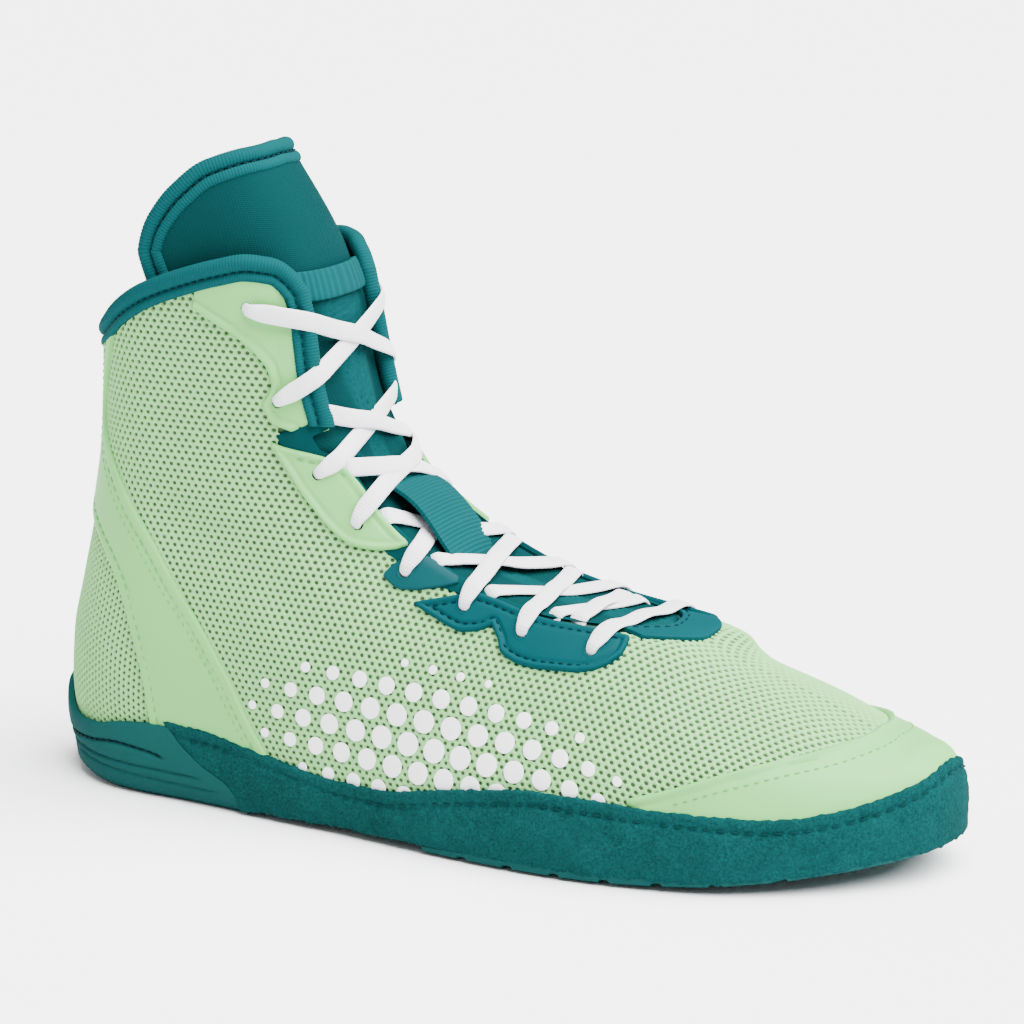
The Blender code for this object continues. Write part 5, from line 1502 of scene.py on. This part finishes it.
# printed dots on the midfoot, graded from the middle of the field
dots = {"u": 46.0, "w": -62.0, "long": 68.0, "high": 24.0, "pitch": 9.0, "row": 7.4, "radius": 3.5,
        "least": 0.8, "lift": 0.26, "around": 16, "slope": 0.06,
        "rings": [(1.0, -0.25), (1.0, 0.75), (0.9, 1.0), (0.5, 1.0), (0.02, 1.0)]}


def makeDots():
    # discs with a rounded rim on the unrolled side, their radius an ellipse's height over the field
    u, w = cellGrid(np.arange(-9, 10), np.arange(-4, 5), dots["pitch"], dots["row"])[1:]
    radius = dots["radius"] * np.sqrt(np.clip(1 - (u / dots["long"]) ** 2 - (w / dots["high"]) ** 2, 0, 1))
    keep = radius > dots["least"]
    u, w, radius = u[keep] + dots["u"], w[keep] + dots["w"] - dots["slope"] * u[keep], radius[keep]
    angle = np.linspace(0, 2 * np.pi, dots["around"], endpoint=False)
    share, lift = np.array(dots["rings"]).T[:, None, :, None]
    parts = []
    for side in sides.values():
        a = u[:, None, None] + radius[:, None, None] * share * np.cos(angle)
        b = w[:, None, None] + radius[:, None, None] * share * np.sin(angle)
        p, n = netMap.at(a, b, side, np.broadcast_to(lift * dots["lift"] + net["crest"], a.shape))
        for k in range(len(u)):
            faces = facing(p[k], gridFaces(len(dots["rings"]), len(angle), True), n[k])
            parts.append((p[k].reshape(-1, 3), faces))
    return addPiece("midfoot_print", *joinParts(parts), made["print"], "mesh", sharp=60)


makeDots()
for thread, slot in (("threadMint", "overlay"), ("threadTeal", "eyestay"), ("threadSuede", "suede")):
    addPiece("stitches_" + thread[6:].lower(), *joinParts(threads[thread]), made[thread], slot, sharp=0)
print("print and stitches made")


# stage: pale floor, soft light and the camera at the photo's angle
stage = {"floor": 14.0, "floorLevel": -0.0002, "paint": (0.93, 0.93, 0.94, 1), "paintRough": 0.6,
         "sunAngle": 70.0, "sunFrom": (0.5, 0.0, 1.0), "sunPower": 20.0, "skyPower": 0.7,
         "azimuth": 28.0, "elevation": 13.5, "distance": 1.3, "target": (0.004175, 0.00334, 0.09),
         "lens": 157.86}


def makeFloor():
    size, level = stage["floor"] / 2, stage["floorLevel"]
    mesh = bpy.data.meshes.new("floor")
    corners = [(size * a, size * b, level) for a, b in ((-1, -1), (1, -1), (1, 1), (-1, 1))]
    mesh.from_pydata(corners, [], [(0, 1, 2, 3)])
    material = bpy.data.materials.new("floorPaint")
    material.use_nodes = True
    shader = material.node_tree.nodes["Principled BSDF"]
    shader.inputs["Base Color"].default_value = stage["paint"]
    shader.inputs["Roughness"].default_value = stage["paintRough"]
    mesh.materials.append(material)
    floor = bpy.data.objects.new("floor", mesh)
    bpy.context.scene.collection.objects.link(floor)


def makeLight(name, place, strength):
    # a broad sun that stands for a large overhead softbox
    data = bpy.data.lights.new(name, "SUN")
    data.angle, data.energy = math.radians(stage["sunAngle"]), strength
    light = bpy.data.objects.new(name, data)
    light.location = place
    light.rotation_euler = (-Vector(place)).to_track_quat("-Z", "Y").to_euler()
    bpy.context.scene.collection.objects.link(light)


def makeCamera():
    a, e = math.radians(stage["azimuth"]), math.radians(stage["elevation"])
    back = Vector((math.sin(a) * math.cos(e), -math.cos(a) * math.cos(e), math.sin(e)))
    data = bpy.data.cameras.new("camera")
    data.lens, data.sensor_width = stage["lens"], 36.0
    camera = bpy.data.objects.new("camera", data)
    camera.location = Vector(stage["target"]) + back * stage["distance"]
    camera.rotation_euler = (-back).to_track_quat("-Z", "Y").to_euler()
    bpy.context.scene.collection.objects.link(camera)
    bpy.context.scene.camera = camera


makeFloor()
makeCamera()
makeLight("soft", stage["sunFrom"], stage["sunPower"])
world = bpy.data.worlds.new("studio")
world.use_nodes = True
world.node_tree.nodes["Background"].inputs["Color"].default_value = (1, 1, 1, 1)
world.node_tree.nodes["Background"].inputs["Strength"].default_value = stage["skyPower"]
bpy.context.scene.world = world
print("stage made")
